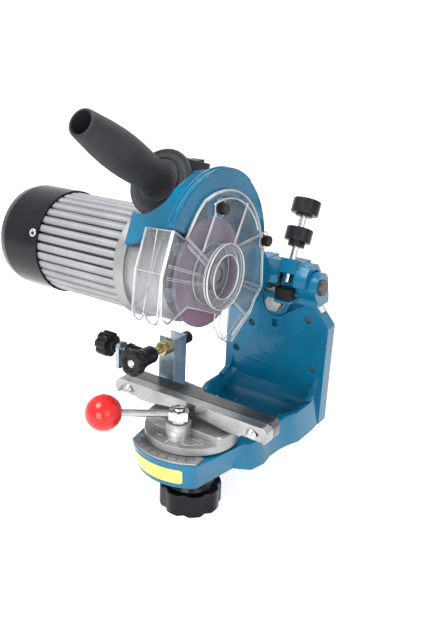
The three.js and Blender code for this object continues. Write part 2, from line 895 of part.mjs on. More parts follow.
// A round arch between two flanks, over its two low corners
function arch(centreY, centreZ, radius, front, rear, lowFront, lowRear) {
  const from = Math.acos((rear - centreY) / radius);
  const to = Math.acos((-front - centreY) / radius);
  return [[rear, lowRear], ...arc(centreY, centreZ, radius, from, to, 12), [-front, lowFront]];
}
const deepBelow = -drum.radius - overrun;
function drumSolid() {
  const wide = drum.radius + overrun;
  const keep = [
    [-wide, drum.lowFront],
    [-drum.bodyFront, drum.lowFront],
    [drum.bodyRear, drum.lowRear],
    [wide, drum.lowRear],
    [wide, drum.lift + wide],
    [-wide, drum.lift + wide],
  ];
  const rim = common(
    turned('x', [
      [drum.rimBack, 0],
      [drum.rimBack, drum.radius],
      [drum.front - drum.step, drum.radius],
      [drum.front, drum.radius - drum.step],
      [drum.front, 0],
    ], sides.large).translate(0, -drum.ahead, drum.lift),
    prism('x', keep, drum.rimBack - overrun, drum.front + overrun),
  );
  const bodyArch = (inset) => [-drum.ahead, drum.lift, drum.radius - drum.step - inset, drum.bodyFront - inset,
    drum.bodyRear - inset];
  const neckArch = (inset) => [0, 0, neck.radius - inset, neck.half - inset, neck.half - inset];
  const mid = (share, inset) => bodyArch(inset).map((value, i) => value * share + neckArch(inset)[i] * (1 - share));
  const riseShare = (neck.rise - neck.end) / (drum.back - neck.end);
  const shoulderShare = (neck.shoulder - neck.end) / (drum.back - neck.end);
  const body = lofted('x', [
    [neck.end, arch(...neckArch(0), neck.lowFront, neck.lowRear)],
    [neck.rise, arch(...mid(riseShare, 0), neck.lowRise, neck.lowRear)],
    [neck.shoulder, arch(...mid(shoulderShare, 0), drum.lowFront, drum.lowRear)],
    [drum.rimBack + gap, arch(...bodyArch(0), drum.lowFront, drum.lowRear)],
  ]);
  return join(rim, body);
}
function hollowSolid() {
  const inner = (inset) => [-drum.ahead, drum.lift, drum.radius - drum.step - inset, drum.bodyFront - inset,
    drum.bodyRear - inset, deepBelow, deepBelow];
  const hollow = lofted('x', [
    [neck.end + drum.wall, arch(0, 0, neck.radius - drum.wall, neck.half - drum.wall, neck.half - drum.wall,
      deepBelow, deepBelow)],
    [drum.back, arch(...inner(drum.wall))],
    [drum.front - drum.faceWall, arch(...inner(drum.wall))],
  ]);
  const mouth = rod('x', drum.mouth, 0, drum.front + overrun, sides.large)
    .translate(0, -drum.mouthAhead, drum.mouthLift);
  return join(hollow, mouth);
}
function headSolid() {
  const level = new THREE.Matrix4().makeRotationX(-swing.raise).setPosition(0, spindleY, spindleZ);
  const placed = (shape) => surface(shape).applyMatrix4(level);
  const arm = prism('x', rounded(armCorners), lug.armLeft, lug.armRight);
  const [screwY, screwZ] = guardScrewAt[0];
  const outward = new THREE.Vector2(screwY + drum.mouthAhead, screwZ - drum.mouthLift).normalize();
  const across = outward.clone().rotateAround(new THREE.Vector2(), Math.PI / 2);
  const corner = (out, side) => [
    screwY + outward.x * out + across.x * side,
    screwZ + outward.y * out + across.y * side,
  ];
  const ear = guardScrew.ear;
  const screwTab = prism('x', [corner(-ear, -ear), corner(2 * ear, -ear), corner(2 * ear, ear), corner(-ear, ear)],
    drum.front - drum.faceWall, drum.front);
  const screwDirection = new THREE.Matrix4().makeRotationX(-swing.raise);
  const flange = flangeSolid().applyMatrix4(screwDirection);
  const screwHole = rod('z', depth.radius + gap, -lug.front, depth.flangeHigh + lug.high)
    .translate(depth.x, -depth.offset, 0).applyMatrix4(screwDirection);
  const anvilRoom = block(
    depth.x - anvil.wide / 2 - 2 * gap,
    depth.x + anvil.wide / 2 + 2 * gap,
    -lug.front * 2,
    -lug.knuckleRadius,
    -lug.front,
    depth.flangeLow,
  ).applyMatrix4(screwDirection);
  const aim = new THREE.Matrix4().makeRotationX(handle.lean)
    .setPosition(handle.x, spindleY + handle.y, spindleZ + handle.z);
  const boss = rod('z', handle.bossRadius, -handle.bossDeep, -gap, sides.medium).applyMatrix4(aim);
  const spotFace = rod('z', handle.flangeRadius + 2 * gap, -gap, handle.long, sides.medium).applyMatrix4(aim);
  const tapping = rod('z', handle.boltRadius + gap, -handle.boltInto - gap, handle.long).applyMatrix4(aim);
  const seatAim = new THREE.Matrix4().makeRotationX(control.lean)
    .setPosition(control.x, spindleY + control.y, spindleZ + control.z);
  const plinth = block(-control.wide / 2, control.wide / 2, -control.deep / 2, control.deep / 2, -control.plinth,
    -gap).applyMatrix4(seatAim);
  const seat = block(-control.wide / 2 - gap, control.wide / 2 + gap, -control.deep / 2 - gap,
    control.deep / 2 + gap, -gap, control.high * 2).applyMatrix4(seatAim);
  const motorRoom = turned('x', [
    [neck.end - drum.radius, 0],
    [neck.end - drum.radius, motor.flangeRadius + gap],
    [neck.end, motor.flangeRadius + gap],
    [neck.end, motor.shieldRadius + gap],
    [drum.front, motor.shieldRadius + gap],
    [drum.front, 0],
  ], sides.large).translate(0, spindleY, spindleZ);
  let body = cut(join(placed(drumSolid()), arm), placed(hollowSolid()));
  body = join(body, cut(placed(screwTab), motorRoom), lugSolid(), flange);
  body = cut(
    body,
    screwHole,
    anvilRoom,
    rod('x', lug.clearRadius, lug.armLeft - overrun, lug.left, sides.medium),
    motorRoom,
  );
  body = cut(join(body, cut(join(boss, plinth), motorRoom)), spotFace, tapping, seat);
  return body;
}
piece(head, 'head_casting', headSolid(), looks.paint);

// Motor: finned body, front shield with its flange, and end cap
const spinning = group(head, 0, spindleY, spindleZ);
function finnedOutline() {
  const points = [];
  const step = (2 * Math.PI) / motor.ribs;
  const halfGroove = motor.grooveWide / motor.bodyRadius / 2;
  for (let i = 0; i < motor.ribs; i += 1) {
    const at = i * step;
    const low = motor.bodyRadius - motor.grooveDeep;
    [
      [motor.bodyRadius, at + halfGroove],
      [motor.bodyRadius, at + step / 2],
      [motor.bodyRadius, at + step - halfGroove],
      [low, at + step - halfGroove / 2],
      [low, at + step + halfGroove / 2],
    ].forEach(([radius, angle]) => points.push([radius * Math.cos(angle), radius * Math.sin(angle)]));
  }
  return points;
}
piece(spinning, 'motor_body', cut(
  prism('x', finnedOutline(), motor.bodyFrom, motor.bodyTo),
  rod('x', motor.shaftRadius + gap, motor.bodyFrom - overrun, motor.bodyTo + overrun),
), looks.aluminium);
const flangeBack = motor.bodyTo + gap;
const flangeFront = neck.end - gap;
piece(spinning, 'motor_front_shield', turned('x', [
  [flangeBack, motor.shaftRadius + gap],
  [flangeBack, motor.flangeRadius],
  [flangeFront, motor.flangeRadius],
  [flangeFront, motor.shieldRadius],
  [motor.shieldFront - motor.shieldStep, motor.shieldRadius],
  [motor.shieldFront, motor.shieldRadius - motor.shieldStep],
  [motor.shieldFront, motor.shieldNose],
  [motor.shieldFront + motor.shieldStep, motor.shieldNose - motor.shieldStep],
  [motor.shieldFront + motor.shieldStep, motor.shaftRadius + gap],
  [flangeBack, motor.shaftRadius + gap],
], sides.large), looks.aluminium);
piece(spinning, 'motor_end_cap', turned('x', [
  [motor.capFrom, 0],
  ...arc(motor.capFrom + motor.capRound, motor.capRadius - motor.capRound, motor.capRound, Math.PI, Math.PI / 2, 3),
  [motor.bodyFrom - gap, motor.capRadius],
  [motor.bodyFrom - gap, motor.shaftRadius + gap],
  [motor.bodyFrom - gap - 2 * motor.shaftRadius, motor.shaftRadius + gap],
  [motor.bodyFrom - gap - 2 * motor.shaftRadius, 0],
], sides.large), looks.black);
for (let i = 0; i < capScrew.count; i += 1) {
  const angle = capScrew.start + (i * 2 * Math.PI) / capScrew.count;
  piece(spinning, `cap_screw_${i + 1}`, turned('x', [
    [-capScrew.high - gap, 0],
    [-capScrew.high - gap, capScrew.radius - gap],
    [-gap, capScrew.radius],
    [-gap, 0],
  ], sides.bolt), looks.steel).position.set(
    motor.capFrom,
    capScrew.circle * Math.cos(angle) * (motor.capRadius - motor.capRound) / capScrew.circle,
    (motor.capRadius - motor.capRound) * Math.sin(angle),
  );
}

// Spindle with its flanges, nut and disc
const shoulder = spindle.innerFrom - gap;
piece(spinning, 'spindle', turned('x', [
  [motor.bodyFrom - 2 * motor.shaftRadius + overrun, 0],
  [motor.bodyFrom - 2 * motor.shaftRadius + overrun, motor.shaftRadius],
  [shoulder, motor.shaftRadius],
  [shoulder, motor.shaftRadius - edge.small],
  [spindle.end, motor.shaftRadius - edge.small],
  [spindle.end, 0],
], sides.small), looks.steel);
const discTo = spindle.discFrom + spindle.discThick;
const spindleBore = motor.shaftRadius - edge.small + gap;
piece(spinning, 'inner_flange', turned('x', [
  [spindle.innerFrom, spindleBore],
  [spindle.innerFrom, spindle.flangeRadius],
  [spindle.discFrom - gap, spindle.flangeRadius],
  [spindle.discFrom - gap, spindle.hubRadius],
  [discTo - gap, spindle.hubRadius],
  [discTo - gap, spindleBore],
  [spindle.innerFrom, spindleBore],
], sides.medium), looks.steel);
piece(spinning, 'grinding_disc', ring('x', spindle.discBore, spindle.discRadius, spindle.discFrom, discTo),
  looks.pink);
const outerTo = discTo + gap + spindle.outerThick;
piece(spinning, 'outer_flange', ring('x', spindleBore, spindle.flangeRadius, discTo + gap, outerTo, sides.medium),
  looks.steel);
piece(spinning, 'spindle_nut', cut(
  prism('x', hexagon(0, 0, spindle.nutAcross), outerTo + gap, outerTo + gap + spindle.nutThick),
  rod('x', spindleBore, 0, spindle.end + overrun),
), looks.steel);

// Clear guard: front sheet with a flared eye, edge walls and ribs
const levelling = group(spinning, 0, 0, 0);
levelling.rotation.x = -swing.raise;
function guardSolid() {
  const inner = guard.face - guard.wall;
  const centre = [-guard.ahead, guard.lift];
  const outline = [...arc(...centre, guard.radius, guard.arcFrom, guard.arcTo, 16), ...guardEdge].reverse();
  const sheet = prism('x', outline, inner, guard.face);
  const half = guard.ribWide / 2;
  const ridge = prism('x', [
    ...arc(...centre, guard.ridgeRadius - half, guard.ridgeFrom, guard.ridgeTo, 12),
    ...arc(...centre, guard.ridgeRadius + half, guard.ridgeTo, guard.ridgeFrom, 12),
  ].reverse(), inner, guard.face + guard.ribHigh);
  const eye = turned('x', [
    [hub.back, hub.radius],
    [hub.back, hub.radius - hub.wall],
    [(hub.back + guard.face) / 2, hub.waist - hub.wall],
    [hub.front - hub.ringThick, hub.ring - hub.wall],
    [hub.front - hub.ringThick, hub.hole],
    [hub.front, hub.hole],
    [hub.front, hub.ring],
    [hub.front - hub.ringThick, hub.ring],
    [(hub.back + guard.face) / 2, hub.waist],
    [hub.back, hub.radius],
  ], sides.medium);
  const eyeRoom = rod('x', hub.waist - hub.wall / 2, hub.back, hub.front, sides.medium);
  const within = prism('x', outline, 0, guard.face + overrun);
  const strip = ([y0, z0, y1, z1], from, to) => {
    const start = new THREE.Vector2(y0, z0);
    const end = new THREE.Vector2(y1, z1);
    const across = end.clone().sub(start).normalize().rotateAround(new THREE.Vector2(), Math.PI / 2)
      .multiplyScalar(half);
    return prism('x', [
      [start.x - across.x, start.y - across.y],
      [end.x - across.x, end.y - across.y],
      [end.x + across.x, end.y + across.y],
      [start.x + across.x, start.y + across.y],
    ], from, to);
  };
  const ribs = guardRibs.map((line) => common(strip(line, inner, guard.face + guard.ribHigh), within));
  const walls = guardWalls.map((line) => strip(line, guard.wallBack, guard.face));
  return join(cut(join(sheet, ridge, ...ribs, ...walls), eyeRoom), eye);
}
const screwRoom = ([y, z]) => rod('x', guardScrew.shank + gap, 0, guard.face + overrun).translate(0, y, z);
function guardHoles(body) {
  const ears = guardScrewAt.map(([y, z]) => rod('x', guardScrew.ear, guard.face - guard.wall, guard.face,
    sides.small).translate(0, y, z));
  return cut(join(body, ...ears), ...guardScrewAt.map(screwRoom), ...deflectorScrewAt.map(screwRoom));
}
piece(levelling, 'guard_front', guardHoles(guardSolid()), looks.clear);

// Spark deflector: leaning front wall with two lobes, an end wall and a tab behind the guard
function deflectorSolid() {
  const tabFace = guard.face - guard.wall - gap;
  const low = deflector.low - deflector.lobe;
  const section = (face) => [
    [-face, deflector.high],
    [-face, deflector.waist],
    [-face + deflector.toe, low - gap],
    [-face + deflector.toe + guard.wall, low - gap],
    [-face + guard.wall, deflector.waist - gap],
    [-face + guard.wall, deflector.high],
  ];
  const lobes = prism('y', rounded([
    [deflector.left, deflector.high, 0],
    [deflector.left, low, deflector.lobe],
    [deflector.left / 3, low, deflector.lobe],
    [deflector.notch, deflector.low, deflector.lobe / 2],
    [tabFace / 3, low, deflector.lobe],
    [tabFace, low, deflector.lobe / 2],
    [tabFace, deflector.high, 0],
  ]), -deflector.face - overrun, 0);
  const front = lofted('x', [[deflector.left, section(deflector.leftFace)], [tabFace, section(deflector.face)]]);
  const endWall = prism('x', deflectorEnd, deflector.left, deflector.left + guard.wall);
  const tab = prism('x', deflectorTab, tabFace - guard.wall, tabFace);
  return cut(join(common(front, lobes), endWall, tab), ...deflectorScrewAt.map(screwRoom));
}
piece(levelling, 'guard_deflector', deflectorSolid(), looks.clear);

// Guard screws
function screwShape(shankTo) {
  return turned('x', [
    [shankTo, 0],
    [shankTo, guardScrew.shank],
    [gap, guardScrew.shank],
    [gap, guardScrew.radius],
    [guardScrew.high - guardScrew.round, guardScrew.radius],
    [guardScrew.high, guardScrew.radius - guardScrew.round],
    [guardScrew.high, 0],
  ], sides.bolt);
}
guardScrewAt.forEach(([y, z], i) => {
  piece(levelling, `guard_screw_${i + 1}`, screwShape(-guard.wall - gap), looks.black)
    .position.set(guard.face, y, z);
});
deflectorScrewAt.forEach(([y, z], i) => {
  piece(levelling, `deflector_screw_${i + 1}`, screwShape(-2 * guard.wall - guardScrew.shank), looks.steel)
    .position.set(guard.face, y, z);
});

// Handle: flange, flared root and hollow-ended grip on a through bolt
const handling = group(spinning, handle.x, handle.y, handle.z);
handling.rotation.x = handle.lean;
const gripFrom = handle.flangeThick + handle.rootLong;
piece(handling, 'handle_grip', turned('z', [
  [0, handle.boltRadius + gap],
  [0, handle.flangeRadius],
  [handle.flangeThick, handle.flangeRadius],
  [handle.flangeThick + handle.rootLong / 4, handle.flangeRadius - handle.flangeThick],
  [gripFrom, handle.neckRadius],
  [gripFrom + handle.rootLong, (handle.neckRadius + handle.gripRadius) / 2],
  [(gripFrom + handle.long) / 2 - handle.rootLong / 2, handle.gripRadius],
  [(gripFrom + handle.long) / 2 + handle.rootLong / 2, handle.gripRadius - gap],
  [(gripFrom + 3 * handle.long) / 4, (handle.gripRadius + handle.endRadius) / 2 + gap],
  [handle.long - handle.endRound, handle.endRadius + handle.endRound / 4],
  [handle.long, handle.endRadius - handle.endRound / 4],
  [handle.long, handle.hollowRadius],
  [handle.long - handle.hollowDeep, handle.hollowRadius * handle.hollowTaper],
  [handle.long - handle.hollowDeep, handle.boltRadius + gap],
  [0, handle.boltRadius + gap],
], sides.medium), looks.grip);
piece(handling, 'handle_bolt', turned('z', [
  [-handle.boltInto, 0],
  [-handle.boltInto, handle.boltRadius],
  [handle.long - handle.hollowDeep + gap, handle.boltRadius],
  [handle.long - handle.hollowDeep + gap, handle.boltHead],
  [handle.long - handle.hollowDeep + gap + handle.boltHeadHigh, handle.boltHead],
  [handle.long - handle.hollowDeep + gap + handle.boltHeadHigh, 0],
], sides.small), looks.steel);

// Mains switch
const switching = group(spinning, control.x, control.y, control.z);
switching.rotation.x = control.lean;
piece(switching, 'switch_body', cut(
  prism('z', rounded([
    [-control.wide / 2, -control.deep / 2, edge.soft],
    [control.wide / 2, -control.deep / 2, edge.soft],
    [control.wide / 2, control.deep / 2, edge.soft],
    [-control.wide / 2, control.deep / 2, edge.soft],
  ]), 0, control.high, edge.small),
  block(-control.rocker / 2 - gap, control.rocker / 2 + gap, -control.rocker - 2 * gap, control.rocker + 2 * gap,
    control.high / 2, control.high + overrun),
), looks.black);
piece(switching, 'switch_rocker', prism('x', [
  [-control.rocker, -control.high / 4],
  [control.rocker, -control.high / 4],
  [control.rocker, control.rise],
  [0, 0],
  [-control.rocker, edge.small],
], -control.rocker / 2, control.rocker / 2), looks.darkSteel).position.set(0, 0, control.high);

// Depth screw with its knob and lock knob
const setting = group(head, depth.x, 0, 0);
setting.rotation.x = -swing.raise;
const screwing = group(setting, 0, -depth.offset, 0);
const leftRaised = swing.raise - swing.travel;
const tipInside = depth.offset - depth.radius;
const depthTip = (anvil.top - pin.z + gap - tipInside * Math.sin(leftRaised)) / Math.cos(leftRaised);
piece(screwing, 'depth_screw', turned('z', [
  [depthTip, 0],
  [depthTip, depth.radius - 2 * gap],
  [depthTip + 2 * gap, depth.radius],
  [depth.knobHigh - depth.knobGrip, depth.radius],
  [depth.knobHigh - depth.knobGrip, 0],
], sides.small), looks.steel);
piece(screwing, 'depth_lock_knob', cut(
  join(
    prism('z', lobed(depth.lockRadius, depth.lobes, depth.lobeDeep, 3), depth.lockLow, depth.lockHigh,
    edge.small),
    rod('z', depth.hubRadius, depth.lockLow - depth.lockHub, depth.lockLow + edge.small, sides.small),
  ),
  rod('z', depth.radius + gap, 0, depth.knobHigh),
), looks.black);
piece(screwing, 'depth_knob', cut(
  join(
    prism('z', lobed(depth.knobRadius, depth.lobes, depth.lobeDeep, 3), depth.knobLow, depth.knobHigh,
    edge.small),
    rod('z', depth.hubRadius, depth.knobLow - edge.cast, depth.knobLow + edge.small, sides.small),
  ),
  rod('z', depth.radius + gap, 0, depth.knobHigh - depth.knobGrip + gap),
), looks.black);

// Return spring: one unbroken wire round the pin, with a short tang at each end
function springGeometry() {
  const steps = spring.turns * 8;
  const middles = [];
  const start = lug.knuckleLeft + gap + spring.wire;
  const end = lug.knuckleRight - gap - spring.wire;
  const pitch = (end - start) / spring.turns;
  for (let i = 0; i <= steps; i += 1) {
    const angle = (2 * Math.PI * i) / 8;
    middles.push(new THREE.Vector3(
      start + (end - start) * (i / steps),
      spring.radius * Math.cos(angle),
      spring.radius * Math.sin(angle),
    ));
  }
  const least = pitch * Math.cos(Math.atan2(pitch, 2 * Math.PI * spring.radius)) - 2 * spring.wire;
  console.log(`return spring: least gap between turns ${least.toFixed(2)} mm`);
  const first = middles[0].clone();
  const last = middles[middles.length - 1].clone();
  first.y += spring.tang;
  last.y += spring.tang;
  const path = [first, ...middles, last];
  const section = [];
  const count = 5;
  const vertices = [];
  path.forEach((at, i) => {
    const before = path[Math.max(i - 1, 0)];
    const after = path[Math.min(i + 1, path.length - 1)];
    const along = after.clone().sub(before).normalize();
    const side = alongX.clone().addScaledVector(along, -alongX.dot(along)).normalize();
    const up = along.clone().cross(side);
    for (let k = 0; k < count; k += 1) {
      const angle = (2 * Math.PI * k) / count;
      const p = at.clone().addScaledVector(side, spring.wire * Math.cos(angle))
        .addScaledVector(up, spring.wire * Math.sin(angle));
      vertices.push(p.x, p.y, p.z);
    }
    section.push(i * count);
  });
  const index = [];
  for (let i = 0; i + 1 < path.length; i += 1) {
    for (let k = 0; k < count; k += 1) {
      const a = section[i] + k;
      const b = section[i] + ((k + 1) % count);
      const c = section[i + 1] + k;
      const d = section[i + 1] + ((k + 1) % count);
      index.push(a, b, d, a, d, c);
    }
  }
  for (let k = 1; k + 1 < count; k += 1) {
    index.push(section[0], section[0] + k + 1, section[0] + k);
    const tail = section[path.length - 1];
    index.push(tail, tail + k, tail + k + 1);
  }
  const geometry = new THREE.BufferGeometry();
  geometry.setAttribute('position', new THREE.Float32BufferAttribute(vertices, 3));
  geometry.setIndex(index);
  return geometry;
}
piece(tilting, 'return_spring', springGeometry(), looks.darkSteel).position.set(0, pin.y, pin.z);

// Vise, in its own frame about the pivot
const swivelling = group(sharpener, 0, nose.pivotY, 0);
function turntableSolid() {
  const disc = turned('z', [
    [vise.low, 0],
    [vise.low, vise.radius],
    [vise.top - vise.bevel, vise.radius],
    [vise.top, vise.radius - vise.bevel],
    [vise.top, 0],
  ], sides.large);
  const stepped = cut(disc, block(-vise.radius, vise.radius, -vise.radius - overrun, vise.stepY, vise.stepTop,
    vise.top + overrun));
  return cut(
    join(
      stepped,
      block(-vise.seatHalf, vise.seatHalf, jaw.face + gap, vise.seatBack, vise.top - vise.bevel, jaw.low - gap),
      rod('z', clamp.post, vise.low + vise.bevel, clamp.low - gap, sides.small).translate(clamp.x, clamp.y, 0),
    ),
    rod('z', lock.studRadius + gap, vise.low - overrun, vise.low + lock.into + gap),
  );
}
piece(swivelling, 'vise_turntable', turntableSolid(), looks.castGrey);

const jawOutline = (low) => rounded([
  [-jaw.half, low, jaw.endRound / 2],
  [-jaw.archHalf, low, jaw.archHalf],
  [0, low + jaw.archRise, jaw.archHalf],
  [jaw.archHalf, low, jaw.archHalf],
  [jaw.half, low, jaw.endRound / 2],
  [jaw.half, jaw.top, jaw.endRound],
  [-jaw.half, jaw.top, jaw.endRound],
], 6);
function frontJawSolid() {
  let body = solid(prism('y', jawOutline(jaw.low), -jaw.frontThick, -jaw.face));
  [-jaw.screwX, jaw.screwX].forEach((x) => {
    body = cut(
      body,
      rod('y', jaw.moonRadius, -jaw.frontThick - overrun, -jaw.frontThick + jaw.moonDeep, sides.medium)
        .translate(x, 0, jaw.low),
      rod('y', jaw.screwRadius / 2 + gap, -jaw.frontThick, -jaw.face - edge.cast).translate(x, 0, jaw.screwZ),
    );
  });
  const hubRoom = rod('z', clamp.across / Math.sqrt(3) + jaw.travel + gap, 0, jaw.top + overrun, sides.medium)
    .translate(clamp.x, clamp.y, 0);
  const guideHole = rod('y', jaw.guideRadius + gap, -jaw.frontThick + jaw.guideSkin, jaw.face, sides.small)
    .translate(jaw.guideX, 0, jaw.guideZ);
  return cut(body, hubRoom, guideHole);
}
piece(swivelling, 'front_jaw', frontJawSolid(), looks.jawGrey);
function rearJawSolid() {
  const side = prism('y', rounded([
    [-jaw.half, jaw.low, jaw.endRound / 2],
    [jaw.half, jaw.low, jaw.endRound / 2],
    [jaw.half, jaw.top, jaw.endRound],
    [-jaw.half, jaw.top, jaw.endRound],
  ]), jaw.face, jaw.rearThick);
  const above = prism('z', rounded([
    [-jaw.half - overrun, jaw.face - overrun, 0],
    [jaw.half + overrun, jaw.face - overrun, 0],
    [jaw.half, jaw.rearThick, jaw.backRound],
    [-jaw.half, jaw.rearThick, jaw.backRound],
  ]), jaw.low - overrun, jaw.top + overrun);
  const bar = common(side, above);
  const bump = prism('z', rounded([
    [jaw.bumpX - jaw.bumpHalf * 2, jaw.rearThick - edge.small, 0],
    [jaw.bumpX + jaw.bumpHalf * 2, jaw.rearThick - edge.small, 0],
    [jaw.bumpX + jaw.bumpHalf, jaw.rearThick + jaw.bumpDeep, edge.soft],
    [jaw.bumpX - jaw.bumpHalf, jaw.rearThick + jaw.bumpDeep, edge.soft],
  ]), jaw.low, jaw.top);
  return cut(join(bar, bump), rod('y', jaw.guideRadius + gap, -overrun, jaw.rearThick + overrun, sides.small)
    .translate(jaw.guideX, 0, jaw.guideZ));
}
piece(swivelling, 'rear_jaw', rearJawSolid(), looks.darkSteel);
[-jaw.screwX, jaw.screwX].forEach((x, i) => {
  piece(swivelling, `jaw_screw_${i + 1}`, cut(
    turned('y', [
      [-jaw.screwRadius / 2 + jaw.moonDeep, 0],
      [-jaw.screwRadius / 2 + jaw.moonDeep, jaw.screwRadius / 2],
      [-gap, jaw.screwRadius / 2],
      [-gap, jaw.screwRadius],
      [-jaw.screwRadius / 2 - gap, jaw.screwRadius / 2],
      [-jaw.screwRadius / 2 - gap, 0],
    ].reverse(), sides.bolt),
    block(-jaw.screwRadius, jaw.screwRadius, -jaw.screwRadius, -jaw.screwRadius / 3, -edge.fine, edge.fine),
  ), looks.steel).position.set(x, -jaw.frontThick, jaw.screwZ);
});
piece(swivelling, 'jaw_guide_bolt', turned('y', [
  [-jaw.frontThick + jaw.guideSkin + gap + jaw.travel, 0],
  [-jaw.frontThick + jaw.guideSkin + gap + jaw.travel, jaw.guideRadius],
  [jaw.rearThick + gap, jaw.guideRadius],
  [jaw.rearThick + gap, jaw.domeRadius],
  [jaw.rearThick + gap + jaw.domeHigh / 2, jaw.domeRadius],
  [jaw.rearThick + gap + jaw.domeHigh, jaw.domeRadius / 2],
  [jaw.rearThick + gap + jaw.domeHigh, 0],
], sides.small), looks.steel).position.set(jaw.guideX, 0, jaw.guideZ);

// Clamp: hexagonal hub, lever and ball
const clamping = group(swivelling, clamp.x, clamp.y, 0);
const leverReach = Math.hypot(clamp.ballX, clamp.ballY);
const leverAim = Math.atan2(clamp.ballY, clamp.ballX);
const leverZ = (clamp.low + clamp.top) / 2;
const leverHole = rod('x', clamp.leverRadius + gap, clamp.across / 2 - clamp.leverInto - gap, leverReach)
  .rotateZ(leverAim).translate(0, 0, leverZ);
piece(clamping, 'clamp_hub', cut(
  prism('z', hexagon(0, 0, clamp.across), clamp.low, clamp.top, edge.small),
  rod('z', clamp.recess, clamp.top - clamp.recessDeep, clamp.top + overrun),
  leverHole,
), looks.steel);
const lever = piece(clamping, 'clamp_lever', rod('x', clamp.leverRadius, clamp.across / 2 - clamp.leverInto,
  leverReach - clamp.ballRadius + clamp.ballInto - gap, sides.small), looks.steel);
lever.position.set(0, 0, leverZ);
lever.rotation.z = leverAim;
const ball = piece(clamping, 'lever_ball', cut(
  new THREE.SphereGeometry(clamp.ballRadius, 20, 12).rotateY(Math.PI / 2),
  rod('x', clamp.leverRadius + gap, -clamp.ballRadius - overrun, clamp.ballInto - clamp.ballRadius),
), looks.red);
ball.position.set(leverReach * Math.cos(leverAim), leverReach * Math.sin(leverAim), leverZ);
ball.rotation.z = leverAim;

// Vise stud and lock knob under the nose
piece(swivelling, 'vise_stud', rod('z', lock.studRadius, lock.low, vise.low + lock.into), looks.steel);
piece(swivelling, 'vise_lock_knob', cut(
  join(
    prism('z', lobed(lock.radius, lock.lobes, lock.lobeDeep), lock.bodyLow, lock.bodyHigh, edge.cast),
    turned('z', [
      [lock.bodyHigh - edge.cast, 0],
      [lock.bodyHigh - edge.cast, lock.radius - 2 * lock.lobeDeep],
      [lock.bodyHigh + edge.soft, lock.radius - 3 * lock.lobeDeep],
      [lock.hubHigh - edge.soft, lock.hubRadius],
      [lock.hubHigh, lock.hubRadius],
      [lock.hubHigh, 0],
    ], sides.medium),
  ),
  rod('z', lock.studRadius + gap, lock.low - gap, overrun),
), looks.black);

// Chain stop: channel column, threaded rod, knobs, cross rod and pawl
function columnSolid() {
  const outer = block(stop.columnLeft, stop.columnRight, stop.columnFront, stop.columnBack, stop.footTop - stop.sheet,
    stop.columnTop);
  const inside = block(
    stop.columnLeft - overrun,
    stop.columnRight - stop.sheet,
    stop.columnFront + stop.sheet,
    stop.columnBack - stop.sheet,
    stop.footTop,
    stop.columnTop + overrun,
  );
  const footPlate = block(stop.columnLeft, -vise.seatHalf - gap, jaw.rearThick + gap, stop.columnBack,
    stop.footTop - stop.sheet, stop.footTop);
  return cut(
    join(cut(outer, inside), footPlate),
    rod('y', stop.rodRadius + gap, stop.columnFront - overrun, stop.columnBack + overrun).translate(stop.x, 0,
      stop.z),
  );
}
piece(swivelling, 'stop_column', columnSolid(), looks.zinc);
piece(swivelling, 'stop_rod', rod('y', stop.rodRadius, stop.rodFrom, stop.rodTo, sides.small), looks.yellowZinc)
  .position.set(stop.x, 0, stop.z);
stop.nutY.forEach((y, i) => {
  piece(swivelling, `stop_nut_${i + 1}`, cut(
    prism('y', hexagon(0, 0, stop.nutAcross), y, y + stop.nutThick),
    rod('y', stop.rodRadius + gap, y - overrun, y + stop.nutThick + overrun),
  ), looks.yellowZinc).position.set(stop.x, 0, stop.z);
});
piece(swivelling, 'stop_rod_cap', cut(
  rod('y', stop.capRadius, stop.rodTo - stop.capLong + gap, stop.rodTo + edge.cast, sides.small),
  rod('y', stop.rodRadius + gap, 0, stop.rodTo + gap),
), looks.black).position.set(stop.x, 0, stop.z);
piece(swivelling, 'stop_adjust_knob', cut(
  prism('y', lobed(stop.knobRadius, stop.endKnobLobes, edge.small), stop.knobFrom, stop.knobTo, edge.small),
  rod('y', stop.rodRadius + gap, stop.rodFrom - gap, 0),
), looks.black).position.set(stop.x, 0, stop.z);
piece(swivelling, 'stop_block', cut(
  join(
    rod('y', stop.blockRadius, stop.knobTo + gap, stop.knobTo + 2 * stop.blockRadius, sides.small),
    rod('x', stop.blockRadius * stop.sleeveShare, stop.blockLeft - stop.x, 0, sides.small).translate(0, stop.crossY, 0),
  ),
  rod('y', stop.rodRadius + gap, -stop.rodTo, stop.rodTo),
  rod('x', stop.crossRadius + gap, stop.blockLeft - stop.x - overrun, -stop.rodRadius - edge.soft)
    .translate(0, stop.crossY, 0),
), looks.black).position.set(stop.x, 0, stop.z);
piece(swivelling, 'stop_cross_rod', rod('x', stop.crossRadius, stop.crossEnd, stop.x - 2 * stop.rodRadius - stop.crossRadius - 2, sides.bolt),
  looks.steel).position.set(0, stop.crossY, stop.z);
piece(swivelling, 'stop_end_knob', cut(
  prism('x', lobed(stop.endKnobRadius, stop.endKnobLobes, edge.small), stop.crossEnd - stop.endKnobLong / 2,
    stop.crossEnd + stop.endKnobLong / 2, edge.small),
  rod('x', stop.crossRadius + gap, stop.crossEnd - gap, stop.crossEnd + stop.endKnobLong),
), looks.black).position.set(0, stop.crossY, stop.z);
